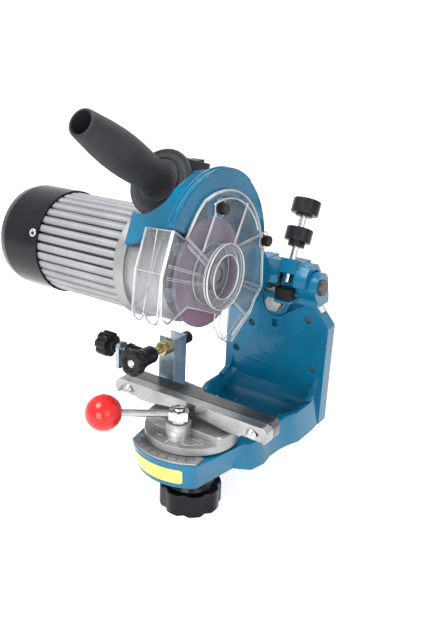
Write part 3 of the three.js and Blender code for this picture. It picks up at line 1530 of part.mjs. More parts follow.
piece(swivelling, 'stop_pawl', cut(
  prism('x', rounded([
    [-stop.pawlEye, stop.pawlEye, stop.pawlEye],
    [stop.pawlEye, stop.pawlEye, stop.pawlEye],
    [stop.pawlEye, -stop.pawlEye, stop.pawlEye],
    [stop.pawlReach / 2, -stop.pawlDrop, edge.cast],
    [-stop.pawlEye, -stop.pawlDrop, edge.cast],
  ].reverse()), stop.pawlX, stop.pawlX + stop.pawlThick),
  rod('x', stop.crossRadius + gap, stop.pawlX - overrun, stop.pawlX + overrun + stop.pawlThick),
), looks.zinc).position.set(0, stop.crossY, stop.z);

export default sharpener;
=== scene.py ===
import json
import math

import bmesh
import bpy
from mathutils import Matrix, Vector


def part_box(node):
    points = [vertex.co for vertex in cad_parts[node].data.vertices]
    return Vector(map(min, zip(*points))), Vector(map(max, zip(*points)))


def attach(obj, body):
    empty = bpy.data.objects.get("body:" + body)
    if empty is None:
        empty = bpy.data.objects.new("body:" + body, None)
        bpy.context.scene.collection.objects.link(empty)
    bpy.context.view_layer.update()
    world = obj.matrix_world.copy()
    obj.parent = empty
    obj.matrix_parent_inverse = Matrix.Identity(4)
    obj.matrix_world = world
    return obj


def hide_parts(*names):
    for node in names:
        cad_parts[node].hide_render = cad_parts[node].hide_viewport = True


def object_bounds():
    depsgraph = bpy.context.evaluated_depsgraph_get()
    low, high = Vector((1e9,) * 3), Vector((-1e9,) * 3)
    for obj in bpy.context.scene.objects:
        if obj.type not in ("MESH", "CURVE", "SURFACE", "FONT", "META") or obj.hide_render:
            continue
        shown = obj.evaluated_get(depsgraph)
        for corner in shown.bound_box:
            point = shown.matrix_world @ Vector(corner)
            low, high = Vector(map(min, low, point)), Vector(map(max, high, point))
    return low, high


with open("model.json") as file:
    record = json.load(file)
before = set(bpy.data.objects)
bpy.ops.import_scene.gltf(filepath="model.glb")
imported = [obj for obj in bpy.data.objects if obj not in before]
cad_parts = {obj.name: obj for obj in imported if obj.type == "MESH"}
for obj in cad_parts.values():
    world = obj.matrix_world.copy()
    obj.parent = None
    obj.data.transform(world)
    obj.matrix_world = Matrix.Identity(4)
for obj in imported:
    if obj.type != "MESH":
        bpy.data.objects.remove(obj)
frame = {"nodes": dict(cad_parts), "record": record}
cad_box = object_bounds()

# Camera, where the photograph was taken from: a little above the head of the machine, to the right of its front,
# with the frame tipped by a couple of degrees.
picture_width = 421
focal_length = 680
film_width = 36
viewing = bpy.data.cameras.new("viewing")
viewing.sensor_fit = "HORIZONTAL"
viewing.sensor_width = film_width
viewing.lens = film_width * focal_length / picture_width
viewer = bpy.data.objects.new("viewer", viewing)
bpy.context.scene.collection.objects.link(viewer)
right = (0.82486, 0.56385, 0.04099)
up = (-0.22497, 0.26086, 0.9388)
ahead = (-0.51865, 0.7836, -0.34202)
standpoint = (0.33249, -0.61936, 0.36188)
viewer.matrix_world = Matrix([(right[i], up[i], -ahead[i], standpoint[i]) for i in range(3)] + [(0, 0, 0, 1)])
bpy.context.scene.camera = viewer
bpy.context.scene.view_settings.view_transform = "Standard"


# Base casting: iron, moulded in sand, with a back plate, a walled foot and a nose for the vise, under a hard glossy
# blue enamel that has a slight orange peel.
class Wire:
    """The output of a shader node; sums written with it add the Math nodes they need."""

    tree = None

    def __init__(self, socket):
        self.socket = socket

    @classmethod
    def node(cls, kind, settings=None, inputs=None, out=0):
        made = cls.tree.nodes.new("ShaderNode" + kind)
        for name, value in (settings or {}).items():
            if name != "stops":
                setattr(made, name, value)
                continue
            while len(made.color_ramp.elements) < len(value):
                made.color_ramp.elements.new(0.5)
            for stop, (place, shade) in zip(made.color_ramp.elements, value):
                stop.position = place
                stop.color = (*shade, 1)
        for name, value in (inputs or {}).items():
            if isinstance(value, cls):
                cls.tree.links.new(value.socket, made.inputs[name])
            else:
                made.inputs[name].default_value = value
        return cls(made.outputs[out])

    def math(self, operation, *others):
        return Wire.node("Math", {"operation": operation}, dict(enumerate((self, *others))))

    def __add__(self, other):
        return self.math("ADD", other)

    __radd__ = __add__

    def __mul__(self, other):
        return self.math("MULTIPLY", other)

    __rmul__ = __mul__

    def __sub__(self, other):
        return self.math("SUBTRACT", other)

    def __rsub__(self, other):
        return Wire.node("Math", {"operation": "SUBTRACT"}, {0: other, 1: self})

    def __pow__(self, other):
        return self.math("POWER", other)

    def limited(self):
        return Wire.node("Math", {"operation": "ADD", "use_clamp": True}, {0: self, 1: 0})

    def between(self, low, high, dark=0, light=1):
        return Wire.node("MapRange", {}, {"Value": self, "From Min": low, "From Max": high, "To Min": dark,
                                          "To Max": light})

    def spread(self, dark=0, light=1):
        """Noise keeps to the middle of its range, and this stretches that middle from dark to light."""
        return self.between(0.3, 0.7, dark, light)


def grain(scale, detail=3, stretch=None):
    """Fine noise fixed to the piece."""
    place = Wire.node("TexCoord", out="Object")
    if stretch:
        place = Wire.node("Mapping", {}, {"Vector": place, "Scale": stretch})
    return Wire.node("TexNoise", {}, {"Vector": place, "Scale": scale, "Detail": detail})


def mixed(amount, one, other):
    """A colour between two others; the numbers are the Mix node's places for colours."""
    factor, first, second, result = 0, 6, 7, 2
    ends = [tone if isinstance(tone, Wire) else (*tone, 1) for tone in (one, other)]
    return Wire.node("Mix", {"data_type": "RGBA"}, {factor: amount, first: ends[0], second: ends[1]}, result)


def new_finish(name):
    finish = bpy.data.materials.new(name)
    finish.use_nodes = True
    finish.node_tree.nodes.clear()
    Wire.tree = finish.node_tree
    return finish


def relief(height, depth, rounding=0.0007):
    """Shallow relief of the surface, over edges that are eased a little."""
    edges = Wire.node("Bevel", {"samples": 6}, {"Radius": rounding})
    return Wire.node("Bump", {}, {"Strength": 1, "Distance": depth, "Height": height, "Normal": edges})


def ended(shader, kind="Material"):
    end = Wire.tree.nodes.new("ShaderNodeOutput" + kind)
    Wire.tree.links.new(shader.socket, end.inputs["Surface"])


def surfaced(finish, **sockets):
    ended(Wire.node("BsdfPrincipled", {}, {name.replace("_", " "): value for name, value in sockets.items()}))
    return finish


def enamel():
    finish = new_finish("blue_enamel")
    cloud = grain(18, 4)
    peel = grain(420, 2)
    dust = grain(900, 2).between(0.62, 0.75)
    tone = mixed(cloud.between(0.35, 0.7), (0.0015, 0.128, 0.245), (0.003, 0.172, 0.322))
    tone = mixed(dust * 0.2, tone, (0.05, 0.28, 0.45))
    return surfaced(
        finish,
        Base_Color=tone,
        Roughness=cloud.spread(0.24, 0.36),
        Specular_IOR_Level=0.25,
        Coat_Weight=0.24,
        Coat_Roughness=0.05,
        Normal=relief(peel * 0.7 + cloud * 2, 0.00012, 0.0016),
    )


blue = enamel()
body_of = {node: body for body, nodes in frame["record"]["behaviour"]["bodies"].items() for node in nodes}
slot_of = {part["node"]: part["material_slot"] for part in frame["record"]["subparts"]}


def seated(piece, finish, *nodes, body=None, slot=None):
    """Gives a piece its finish and its body, and lets it stand for the nodes that are named; its slot is not used."""
    piece.data.materials.clear()
    piece.data.materials.append(finish)
    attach(piece, body or body_of[nodes[0]])
    if nodes:
        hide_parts(*nodes)


welded = 0.00002


def shown(name, form, sharp=33):
    """A visible piece from a form, smooth but along edges that turn by more than an angle."""
    bmesh.ops.remove_doubles(form, verts=form.verts, dist=welded)
    bmesh.ops.recalc_face_normals(form, faces=form.faces)
    mesh = bpy.data.meshes.new(name)
    form.to_mesh(mesh)
    form.free()
    mesh.polygons.foreach_set("use_smooth", [True] * len(mesh.polygons))
    mesh.set_sharp_from_angle(angle=math.radians(sharp))
    piece = bpy.data.objects.new(name, mesh)
    bpy.context.scene.collection.objects.link(piece)
    return piece


def taken_up(node, name, finish, sharp=33):
    """The node's own solid, with its flat faces made whole and its edges kept."""
    flat = math.radians(0.6)
    form = bmesh.new()
    form.from_mesh(frame["nodes"][node].data)
    bmesh.ops.remove_doubles(form, verts=form.verts, dist=welded)
    bmesh.ops.dissolve_limit(form, angle_limit=flat, verts=form.verts, edges=form.edges)
    piece = shown(name, form, sharp)
    weighted = piece.modifiers.new("even", "WEIGHTED_NORMAL")
    weighted.keep_sharp = True
    seated(piece, finish, node)


taken_up("base_casting", "casting_enamelled", blue)


# Fillets and raised lines moulded in one with the casting, under its enamel: a deep round where the back plate meets
# the floor and the walls, a step across the plate, the rim of a shallow bowl and the lips round the index hole.
def gathered(forms):
    """Several forms made one."""
    whole = bmesh.new()
    for form in forms:
        scrap = bpy.data.meshes.new("scrap")
        form.to_mesh(scrap)
        form.free()
        whole.from_mesh(scrap)
        bpy.data.meshes.remove(scrap)
    return whole


def strip_form(corners, thick):
    """A flat shape with the given corners, thickened along a vector."""
    form = bmesh.new()
    low = [form.verts.new(point) for point in corners]
    high = [form.verts.new(Vector(point) + Vector(thick)) for point in corners]
    form.faces.new(low)
    form.faces.new(high[::-1])
    for i in range(len(low)):
        j = (i + 1) % len(low)
        form.faces.new((low[i], low[j], high[j], high[i]))
    return form


def fillet_form(left, right, foot, radius):
    """A concave round between the plate's face and a level surface, from left to right, sunk a little into both."""
    steps, sunk = 12, 0.0008
    section = [Vector((left, sunk, foot - sunk)), Vector((left, sunk, foot + radius))]
    for k in range(1, steps):
        turn = math.radians(90 * k / steps)
        section.append(Vector((left, -radius * (1 - math.cos(turn)), foot + radius * (1 - math.sin(turn)))))
    section.append(Vector((left, -radius, foot - sunk)))
    return strip_form(section, (right - left, 0, 0))


floor_top, wall_top = 0.012, 0.0345
rounds = [
    fillet_form(-0.0465, 0.0625, floor_top, 0.022),
    fillet_form(-0.0492, -0.0435, wall_top, 0.021),
    fillet_form(0.0595, 0.0652, wall_top, 0.021),
]
seated(shown("casting_fillets", gathered(rounds)), blue, body="casting", slot="blue_paint")


def bead_form(points, radius, closed=False):
    """A round bead along a line of points, with flat ends or closed on itself."""
    sides = 8
    aslant = (0.31, 0.87, 0.39)
    form = bmesh.new()
    points = [Vector(point) for point in points]
    rings = []
    for i, point in enumerate(points):
        before = points[i - 1] if closed or i else point
        after = points[(i + 1) % len(points)] if closed or i + 1 < len(points) else point
        along = (after - before).normalized()
        across = along.cross(aslant).normalized()
        other = along.cross(across)
        rings.append([form.verts.new(point + (across * math.cos(turn) + other * math.sin(turn)) * radius)
                      for turn in (2 * math.pi * k / sides for k in range(sides))])
    for i in range(len(rings) - (not closed)):
        near, far = rings[i], rings[(i + 1) % len(rings)]
        for k in range(sides):
            form.faces.new((near[k], near[(k + 1) % sides], far[(k + 1) % sides], far[k]))
    if not closed:
        form.faces.new(rings[0][::-1])
        form.faces.new(rings[-1])
    return form


def eased(points):
    """Points of a smooth curve through the given ones."""
    steps = 5
    points = [Vector(point) for point in points]
    last = len(points) - 1
    curve = []
    for i in range(last):
        a, b, c, d = (points[min(max(j, 0), last)] for j in range(i - 1, i + 3))
        for k in range(steps):
            t = k / steps
            curve.append(0.5 * (2 * b + (c - a) * t + (2 * a - 5 * b + 4 * c - d) * t * t
                                + (3 * b - a - 3 * c + d) * t ** 3))
    return curve + [points[last]]


plate_lines = [
    [(-27, 54.5), (5, 53.5), (30, 52.4), (39, 54), (45.5, 63), (53, 71.9), (66, 72.8)],
    [(34.5, 101), (31.5, 94.1), (25.3, 82), (16.4, 70), (6.7, 65.5), (-6.2, 67), (-16.1, 76.9), (-21, 88)],
    [(-3.5, 103), (-3.4, 98), (-3.1, 93)],
    [(14.5, 103), (13, 99), (11, 93.5)],
]
plate_face = 0.0002
ridges = [bead_form(eased([(x / 1000, plate_face, z / 1000) for x, z in line]), 0.0011) for line in plate_lines]
seated(shown("plate_raised_lines", gathered(ridges)), blue, body="casting", slot="blue_paint")


# Label round the front of the nose: a bare yellow sticker of varnished film with rounded corners, pressed on the
# enamel and following the casting's draft.
def label_yellow():
    finish = new_finish("label_yellow")
    fade = grain(70, 3)
    return surfaced(finish, Base_Color=mixed(fade.spread(), (0.70, 0.64, 0.11), (0.78, 0.72, 0.18)),
                    Roughness=fade.spread(0.3, 0.4), Coat_Weight=0.3,
                    Normal=relief(fade, 0.00003, 0.0004))


vise_axis = Vector((0, -0.140, 0))
sticker = bmesh.new()
columns = []
wide_steps, high_steps = 24, 6
starts_at, sweep = -123, 60
foot, height, rounded = 0.0052, 0.0158, 0.0016
nose_radius, nose_draft, film = 0.0545, 0.0045 / 0.027, 0.00022
for i in range(wide_steps + 1):
    share = i / wide_steps
    turn = math.radians(starts_at + sweep * share)
    from_end = min(share, 1 - share) * math.radians(sweep) * (nose_radius + 0.0035)
    inset = rounded - math.sqrt(max(rounded ** 2 - max(rounded - from_end, 0) ** 2, 0))
    column = []
    for k in range(high_steps + 1):
        z = foot + inset + (height - 2 * inset) * k / high_steps
        radius = nose_radius + nose_draft * z + film
        column.append(sticker.verts.new(vise_axis + Vector((radius * math.cos(turn), radius * math.sin(turn), z))))
    columns.append(column)
for near, far in zip(columns, columns[1:]):
    for k in range(high_steps):
        sticker.faces.new((near[k], far[k], far[k + 1], near[k + 1]))
seated(shown("nose_label_bare", sticker), label_yellow(), body="casting", slot="white_label")


# Graduated plates of the casting: a thin aluminium band on the nose, graduated in degrees each side of its middle for
# the vise, and a white tag at the plate's shoulder for the tilt, both pressed on.
def cast_aluminium():
    finish = new_finish("cast_aluminium")
    sand = grain(700, 3)
    patch = grain(35, 4)
    tone = mixed(patch.between(0.35, 0.7), (0.263, 0.262, 0.264), (0.382, 0.380, 0.384))
    return surfaced(
        finish,
        Base_Color=tone,
        Metallic=0.75,
        Roughness=patch.spread(0.36, 0.5),
        Normal=relief(sand, 0.00012, 0.0008),
    )


cast = cast_aluminium()
taken_up("vise_scale_plate", "vise_scale", cast)


def printing():
    finish = new_finish("black_marks")
    worn = grain(1500, 2).between(0.6, 0.8)
    return surfaced(finish, Base_Color=mixed(worn * 0.5, (0.02, 0.02, 0.02), (0.2, 0.2, 0.2)), Roughness=0.6,
                    Normal=relief(worn, 0.00002))


ink_thick = 0.00008
scale_middle = vise_axis + Vector((0, 0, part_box("vise_scale_plate")[1].z))
ticks = []
for degree in range(-38, 39, 2):
    turn = math.radians(degree - 90)
    ray = Vector((math.cos(turn), math.sin(turn), 0))
    side = Vector((-ray.y, ray.x, 0)) * (0.00035 if degree % 10 else 0.0005)
    near = scale_middle + ray * 0.0475
    far = scale_middle + ray * (0.0520 if degree % 10 else 0.0555)
    ticks.append(strip_form([near - side, far - side, far + side, near + side], (0, 0, ink_thick)))
seated(shown("vise_scale_marks", gathered(ticks)), printing(), body="casting", slot="black_plastic")


def label_white():
    finish = new_finish("white_tag")
    spots = grain(300, 3)
    return surfaced(finish, Base_Color=mixed(spots.between(0.4, 0.7), (0.78, 0.78, 0.76), (0.86, 0.86, 0.85)),
                    Roughness=0.4, Normal=relief(spots, 0.00003))


taken_up("tilt_scale_tag", "tilt_tag", label_white())


# Tilt bolt with its washer and nut: M10, of zinc-plated steel, through the bracket's tongue and the back plate, where
# it clamps the head at the tilt that the tag shows.
def bright_steel():
    finish = new_finish("bright_steel")
    brush = grain(260, 3)
    patch = grain(60, 3)
    return surfaced(
        finish,
        Base_Color=mixed(patch.between(0.35, 0.7), (0.42, 0.42, 0.435), (0.56, 0.56, 0.57)),
        Metallic=1,
        Roughness=brush.spread(0.16, 0.3),
        Normal=relief(brush, 0.00004, 0.0005),
    )


bright = bright_steel()
for node in ("tilt_bolt", "tilt_washer", "tilt_nut"):
    taken_up(node, node + "_plated", bright)


# Hinge bracket: a second iron casting under the same enamel, clamped to the back plate by its tongue, with an ear for
# each end of the hinge pin.
taken_up("hinge_bracket", "bracket_enamelled", blue)


# Hinge pin and return spring, of blackened and oiled steel, the pin pushed through the bracket's ears and the spring
# wound round it, and the black rubber-faced block in the bracket on which the depth screw lands.
def dark_steel():
    finish = new_finish("dark_steel")
    oil = grain(90, 4)
    return surfaced(
        finish,
        Base_Color=mixed(oil.spread(), (0.03, 0.028, 0.027), (0.075, 0.07, 0.068)),
        Metallic=0.7,
        Roughness=oil.spread(0.3, 0.5),
        Normal=relief(oil, 0.00005, 0.0005),
    )


oiled_steel_and_gap_shadow = dark_steel()
taken_up("hinge_pin", "hinge_pin_oiled", oiled_steel_and_gap_shadow)
taken_up("return_spring", "return_spring_coil", oiled_steel_and_gap_shadow, sharp=80)


def black_plastic():
    finish = new_finish("black_plastic")
    grit = grain(1300, 2)
    patch = grain(50, 3)
    return surfaced(
        finish,
        Base_Color=mixed(patch.spread(), (0.007, 0.0075, 0.009), (0.014, 0.0145, 0.017)),
        Roughness=patch.spread(0.3, 0.42),
        Specular_IOR_Level=0.2,
        Normal=relief(grit, 0.00005, 0.0007),
    )


black = black_plastic()
taken_up("stop_anvil", "stop_anvil_block", black)


# Head casting: aluminium under the same enamel, a round rim for the guard with a drum behind it and a neck to the
# motor, with the hinge lug cast on and two low ridges along its rim.
taken_up("head_casting", "head_enamelled", blue)
spindle_at = Vector((0, -0.132, 0.1887))
raised = math.radians(-22.5)
level = Matrix.Translation(spindle_at) @ Matrix.Rotation(raised, 4, "X")


def on_head(points):
    """Points in millimetres from the spindle, as on a level head, moved onto the raised one."""
    return [level @ Vector((x / 1000, y / 1000, z / 1000)) for x, y, z in points]


def ring_points(x, radius, centre=(0, 0), start=0, end=360, count=48):
    """Points of a circle or an arc that faces along x."""
    turns = [math.radians(start + (end - start) * i / count) for i in range(count + (end - start != 360))]
    return [(x, centre[0] + radius * math.cos(turn), centre[1] + radius * math.sin(turn)) for turn in turns]


drum_radius, drum_middle = 79.05, (-3.8, 14.3)
rim_ridges = [bead_form(on_head(ring_points(x, drum_radius, drum_middle, 76, 170, 60)), thick)
              for x, thick in ((9.2, 0.0010), (14.9, 0.0006))]
seated(shown("head_rim_ridges", gathered(rim_ridges)), blue, body="head", slot="blue_paint")


# Motor: an extruded aluminium body with cooling fins along it, with painted shade dark between them, a cast front
# shield bolted to the head's neck and a black moulded end cap held by screws.
def fin_aluminium():
    finish = new_finish("fin_aluminium")
    drawn = grain(160, 3, (0.05, 1, 1))
    patch = grain(30, 3)
    place = Wire.node("TexCoord", out="Object")
    across = Wire.node("SeparateXYZ", {}, {"Vector": place}, out="Y") - spindle_at.y
    upward = Wire.node("SeparateXYZ", {}, {"Vector": place}, out="Z") - spindle_at.z
    # The base colour darkens towards the depth of the grooves: painted shade for the shade between the fins.
    groove, land = 0.0457, 0.0486
    painted_groove_shade = (across * across + upward * upward).between(groove ** 2, land ** 2)
    tone = mixed(patch.spread(), (0.30, 0.304, 0.318), (0.375, 0.379, 0.393))
    return surfaced(
        finish,
        Base_Color=mixed(painted_groove_shade, (0.07, 0.073, 0.082), tone),
        Metallic=0.45,
        Roughness=drawn.spread(0.4, 0.52),
        Normal=relief(drawn, 0.00006, 0.0004),
    )


def gloss_black():
    finish = new_finish("glossy_black")
    patch = grain(45, 3)
    return surfaced(
        finish,
        Base_Color=mixed(patch.spread(), (0.0045, 0.0055, 0.008), (0.008, 0.009, 0.0125)),
        Roughness=patch.spread(0.14, 0.22),
        Specular_IOR_Level=0.2,
        Normal=relief(patch, 0.00005, 0.0009),
    )


taken_up("motor_body", "motor_fins", fin_aluminium(), sharp=25)
taken_up("motor_front_shield", "motor_shield", cast)
gloss = gloss_black()
taken_up("motor_end_cap", "motor_cap", gloss)
for i in (1, 2, 3):
    taken_up(f"cap_screw_{i}", f"cap_screw_{i}_plated", bright)


def turned_form(profile, place, sides=56):
    """A body of revolution about the local z, from (radius, height) pairs in millimetres."""
    form = bmesh.new()
    rings = []
    for radius, along in profile:
        turns = [2 * math.pi * k / sides for k in range(sides)] if radius else [0]
        rings.append([form.verts.new(place @ Vector((radius * math.cos(t) / 1000, radius * math.sin(t) / 1000,
                                                     along / 1000))) for t in turns])
    for near, far in zip(rings, rings[1:]):
        for k in range(sides):
            j = (k + 1) % sides
            if len(near) == 1:
                form.faces.new((near[0], far[j], far[k]))
            elif len(far) == 1:
                form.faces.new((near[k], near[j], far[0]))
            else:
                form.faces.new((near[k], near[j], far[j], far[k]))
    return form


cap_side = Matrix.Translation((-0.1675, *spindle_at.yz)) @ Matrix.Rotation(math.radians(71), 4, "X")
screw_head = [(4.2, 51.6), (4.1, 52.1), (3.6, 52.5), (2.9, 52.6), (2.6, 52.2), (2.4, 51.9), (0, 51.9)]
seated(shown("cap_side_screw", turned_form(screw_head, cap_side, 28)), bright, body=body_of["motor_end_cap"],
       slot="bright_steel")


# Spindle with its two flanges and its nut: turned from steel, left bare and oiled, and tightened against each other
# with the disc between the flanges.
def turned_steel():
    finish = new_finish("turned_steel")
    lathe = grain(300, 3)
    oil = grain(50, 3)
    return surfaced(
        finish,
        Base_Color=mixed(oil.spread(), (0.13, 0.13, 0.14), (0.24, 0.24, 0.25)),
        Metallic=0.85,
        Roughness=lathe.spread(0.3, 0.45),
        Normal=relief(lathe, 0.00004, 0.0004),
    )


turned = turned_steel()
for node in ("spindle", "inner_flange", "outer_flange", "spindle_nut"):
    taken_up(node, node + "_turned", turned)


# Grinding disc: pink corundum grit in a resin bond, pressed and cured flat, here part-worn. It sits on the inner
# flange's seat and is held by the outer flange.
def corundum():
    finish = new_finish("pink_corundum")
    grit = grain(1800, 2)
    patch = grain(40, 4)
    tone = mixed(patch.spread(), (0.15, 0.085, 0.14), (0.23, 0.13, 0.20))
    tone = mixed(grit.between(0.5, 0.75) * 0.35, tone, (0.5, 0.34, 0.44))
    return surfaced(finish, Base_Color=tone, Roughness=0.85, Normal=relief(grit, 0.0002, 0.0004))


taken_up("grinding_disc", "disc_pink", corundum())


# Guard: two clear mouldings of polycarbonate, a ribbed front sheet with a flared eye and a spark deflector, screwed to
# the head's rim, with white beads along their edges and ribs that are painted highlights.
def polycarbonate():
    finish = new_finish("clear_polycarbonate")
    haze = grain(60, 4)
    # Seen edge-on the clear plastic turns denser and paler: partly the longer path through its haze, partly a painted
    # sheen.
    edge_on_haze_and_sheen = Wire.node("LayerWeight", {}, {"Blend": 0.35}, out="Facing")
    scratch = grain(500, 3, (1, 0.2, 1)).between(0.6, 0.8)
    alpha = (edge_on_haze_and_sheen ** 4 * 0.7 + haze.between(0.3, 0.8, 0.06, 0.17) + scratch * 0.03).limited()
    return surfaced(
        finish,
        Base_Color=mixed(haze, (0.40, 0.46, 0.52), (0.60, 0.66, 0.72)),
        Roughness=haze.spread(0.05, 0.14),
        IOR=1.55,
        Alpha=alpha,
        Normal=relief(haze, 0.0001, 0.0006),
    )


def scratched_polycarbonate():
    finish = new_finish("scratched_polycarbonate")
    haze = grain(55, 5, (1, 1, 0.4))
    # Seen edge-on the clear plastic turns denser and paler: partly the longer path through its haze, partly a painted
    # sheen.
    edge_on_haze_and_sheen = Wire.node("LayerWeight", {}, {"Blend": 0.4}, out="Facing")
    sparks = grain(420, 3).between(0.55, 0.8)
    alpha = (edge_on_haze_and_sheen ** 3 * 0.6 + haze.between(0.35, 0.7, 0.06, 0.26) + sparks * 0.1).limited()
    return surfaced(finish, Base_Color=mixed(haze, (0.26, 0.27, 0.29), (0.46, 0.47, 0.50)),
                    Roughness=haze.spread(0.12, 0.3), IOR=1.45, Specular_IOR_Level=0.35, Alpha=alpha,
                    Normal=relief(haze * 3 + sparks, 0.0001, 0.0006))


clear = polycarbonate()
scratched = scratched_polycarbonate()
taken_up("guard_front", "guard_clear", clear)
taken_up("guard_deflector", "deflector_clear", scratched)
eye_at = level @ Matrix.Rotation(math.radians(90), 4, "Y")
eye = turned_form([(29.0, 9.4), (29.2, 15), (29.5, 22), (29.6, 24.4), (28.6, 25.1), (24.6, 25.2), (20.6, 25.1),
                   (19.9, 24.2), (19.9, 22.4)], eye_at, 64)
seated(shown("guard_eye_haze", eye), scratched, body="head", slot="clear_plastic")


def painted_edge_highlight():
    finish = new_finish("guard_edge_highlight_paint")
    haze = grain(90, 3)
    # The base colour is painted highlight: white where the bead faces the camera, darker where it turns away.
    rim = Wire.node("LayerWeight", {}, {"Blend": 0.5}, out="Facing")
    return surfaced(
        finish,
        Base_Color=mixed(rim.between(0.3, 0.75), (0.92, 0.94, 0.96), (0.16, 0.17, 0.19)),
        Roughness=haze.spread(0.08, 0.16),
        IOR=1.55,
        Alpha=haze.spread(0.55, 0.8),
        Normal=relief(haze, 0.00003, 0.0003),
    )


edges = []


def painted_highlight_line(points, thick, closed=False):
    """One painted highlight along an edge or rib of the guard, on points in millimetres from the spindle."""
    edges.append(bead_form(on_head(points), thick / 1000, closed))


face, back, crest = 19, 16.6, 20.6
arch = (-1.5, 4.6)
sheet_edge = [(61, 47), (63, 40), (80.8, 5), (80, 0), (74, -10), (72, -24), (50, -56), (44, -58), (37, -56),
              (21, -46), (19, -33), (-39, -34), (-60, -51.5), (-72, -47), (-84, -17), (-84, 21.5), (-64.5, 18),
              (-62.3, 29), (-58.3, 42)]
outline = [(y, z) for _, y, z in ring_points(0, 71.2, arch, 136, 40, 24)] + sheet_edge
for x, thick in ((face - 0.5, 0.8), (back + 0.5, 0.6)):
    painted_highlight_line([(x, y, z) for y, z in outline], thick, closed=True)
painted_highlight_line(ring_points(crest, 64, arch, 128, 48, 24), 0.9)
painted_highlight_line(ring_points(face, 70.2, arch, 134, 42, 24), 0.6)
eye_rings = ((24.6, 29.9, 0.9), (24.8, 20.1, 0.8), (22, 30, 0.6), (19.4, 28, 0.7), (8.9, 28.2, 0.8))
for x, radius, thick in eye_rings:
    painted_highlight_line(ring_points(x, radius), thick, closed=True)

webs = [(-66, 19.5, -28, 8), (-64, 14.5, -27, 3.5), (-36, 49, -40, 14), (11, 70, 6, 30), (54, 52, 8, 28),
        (75, 2, 26, 2.5), (74, -2.5, 27, -1.5), (66, -30, 22, -16), (-82, -6, -28, -5), (-80, -16, -27, -12),
        (44, -50, 66, -22), (31, -44, 24, -20)]
half_web = 0.8
for y0, z0, y1, z1 in webs:
    lean = Vector((z0 - z1, y1 - y0)).normalized() * half_web
    for way in (-1, 1):
        aside = lean * way
        painted_highlight_line([(crest, y0 + aside.x, z0 + aside.y), (crest, y1 + aside.x, z1 + aside.y)], 0.45)
skirt = ((68, -28), (50, -54), (44, -56.5), (38, -54.5), (22.5, -45), (20.5, -34))
painted_highlight_line([(11, y, z) for y, z in skirt], 0.7)

left_end, right_end, panel_top, bend = -17, 16, 21.2, -14


def on_deflector(x, z):
    """The deflector's outer face, which slants from end to end and leans in below its bend."""
    slant = 8.5 * (x - left_end) / 33.3
    lean = 12 * max(0, bend - z) / 41.3
    return (x, -74.9 - slant + lean, z)


scallops = [(-17, -46), (-14.5, -52), (-9, -54.4), (-4, -51.5), (-2, -47), (1.5, -51.5), (7, -54.4), (13, -54),
            (16, -50)]
panel = [on_deflector(x, z) for x, z in ((left_end, panel_top), (left_end, bend), *scallops, (right_end, bend),
                                         (right_end, panel_top))]
painted_highlight_line(panel, 0.7, closed=True)
painted_highlight_line([(x, y + 2.4, z) for x, y, z in panel], 0.5, closed=True)
painted_highlight_line([(x, y + 1.2, z) for x, y, z in panel[2:-2]], 0.5)
painted_highlight_line([on_deflector(left_end, bend), on_deflector(right_end, bend)], 0.6)
painted_highlight_line([on_deflector(-2, panel_top), on_deflector(-2, -46)], 0.6)
end_wall = [(-74.5, 21), (-74.5, -14), (-66, -41.5), (-60, -40), (-50.6, -24), (-51.8, 0), (-51, 14.2)]
painted_highlight_line([(-16.6, y, z) for y, z in end_wall], 0.9, closed=True)
for screw in ((-28.4, 54.7), (61, 46)):
    painted_highlight_line(ring_points(face, 8.4, screw, count=20), 0.5, closed=True)
seated(shown("guard_painted_edge_highlights", gathered(edges), sharp=60), painted_edge_highlight(), body="head", slot="clear_plastic")

for i in (1, 2):
    taken_up(f"guard_screw_{i}", f"guard_screw_{i}_black", black)
    taken_up(f"deflector_screw_{i}", f"deflector_screw_{i}_nylon", clear)


# Handle: a hollow moulded grip of fine-grained plastic with a round hand guard at its foot, on a long plated bolt
# that goes through it into the head.
def grip_plastic():
    finish = new_finish("grip_plastic")
    grit = grain(1100, 2)
    patch = grain(40, 3)
    return surfaced(
        finish,
        Base_Color=mixed(patch.spread(), (0.016, 0.0165, 0.020), (0.028, 0.029, 0.034)),
        Roughness=patch.spread(0.48, 0.62),
        Specular_IOR_Level=0.3,
        Normal=relief(grit, 0.00015, 0.0012),
    )


grip_at = Matrix.Translation((-0.038, -0.146, 0.265)) @ Matrix.Rotation(math.radians(60.5), 4, "X")
grip_profile = [
    (5.5, 0.1), (29.4, 0.1), (30.6, 0.5), (31.2, 1.4), (31.2, 3.2), (30.7, 4.0), (29.8, 4.2), (29.1, 3.9), (28.4, 3.5),
    (24.6, 3.3), (24.1, 3.6), (23.7, 4.6), (23.2, 5), (22.5, 5), (22.1, 4.5), (21.8, 3.9), (20.4, 3.9), (20, 4.6),
    (19.7, 6), (19, 6.5), (18.2, 6.5), (17.6, 6.2), (17.2, 6.6), (16.4, 8.4), (15.8, 10.5), (15.5, 14), (15.4, 18),
    (15.7, 26), (16.5, 38), (17.2, 50), (17.3, 60), (16.9, 72), (15.6, 86), (13.9, 98), (12.75, 106), (12.3, 109),
    (11.9, 111), (11.4, 112.1), (10.9, 112.6), (10.2, 112.7), (9.7, 112.2), (9.4, 108), (9, 96), (8.6, 84), (8.2, 80),
    (0, 80)]
seated(shown("handle_moulded", turned_form(grip_profile, grip_at, 64), sharp=40), grip_plastic(), "handle_grip")
taken_up("handle_bolt", "handle_bolt_plated", bright)


# Switch: a black moulded body let into the top of the head behind the handle, where it snaps into its opening, with
# its rocker.
taken_up("switch_body", "switch_moulded", black)
taken_up("switch_rocker", "switch_rocker_moulded", black)


# Depth screw: plated steel, through the flange of the head's lug, with a fluted knob of black plastic moulded on its
# top and a lock knob of the same that runs on its thread.
taken_up("depth_screw", "depth_screw_plated", bright)
taken_up("depth_lock_knob", "depth_lock_moulded", black)
taken_up("depth_knob", "depth_knob_moulded", black)


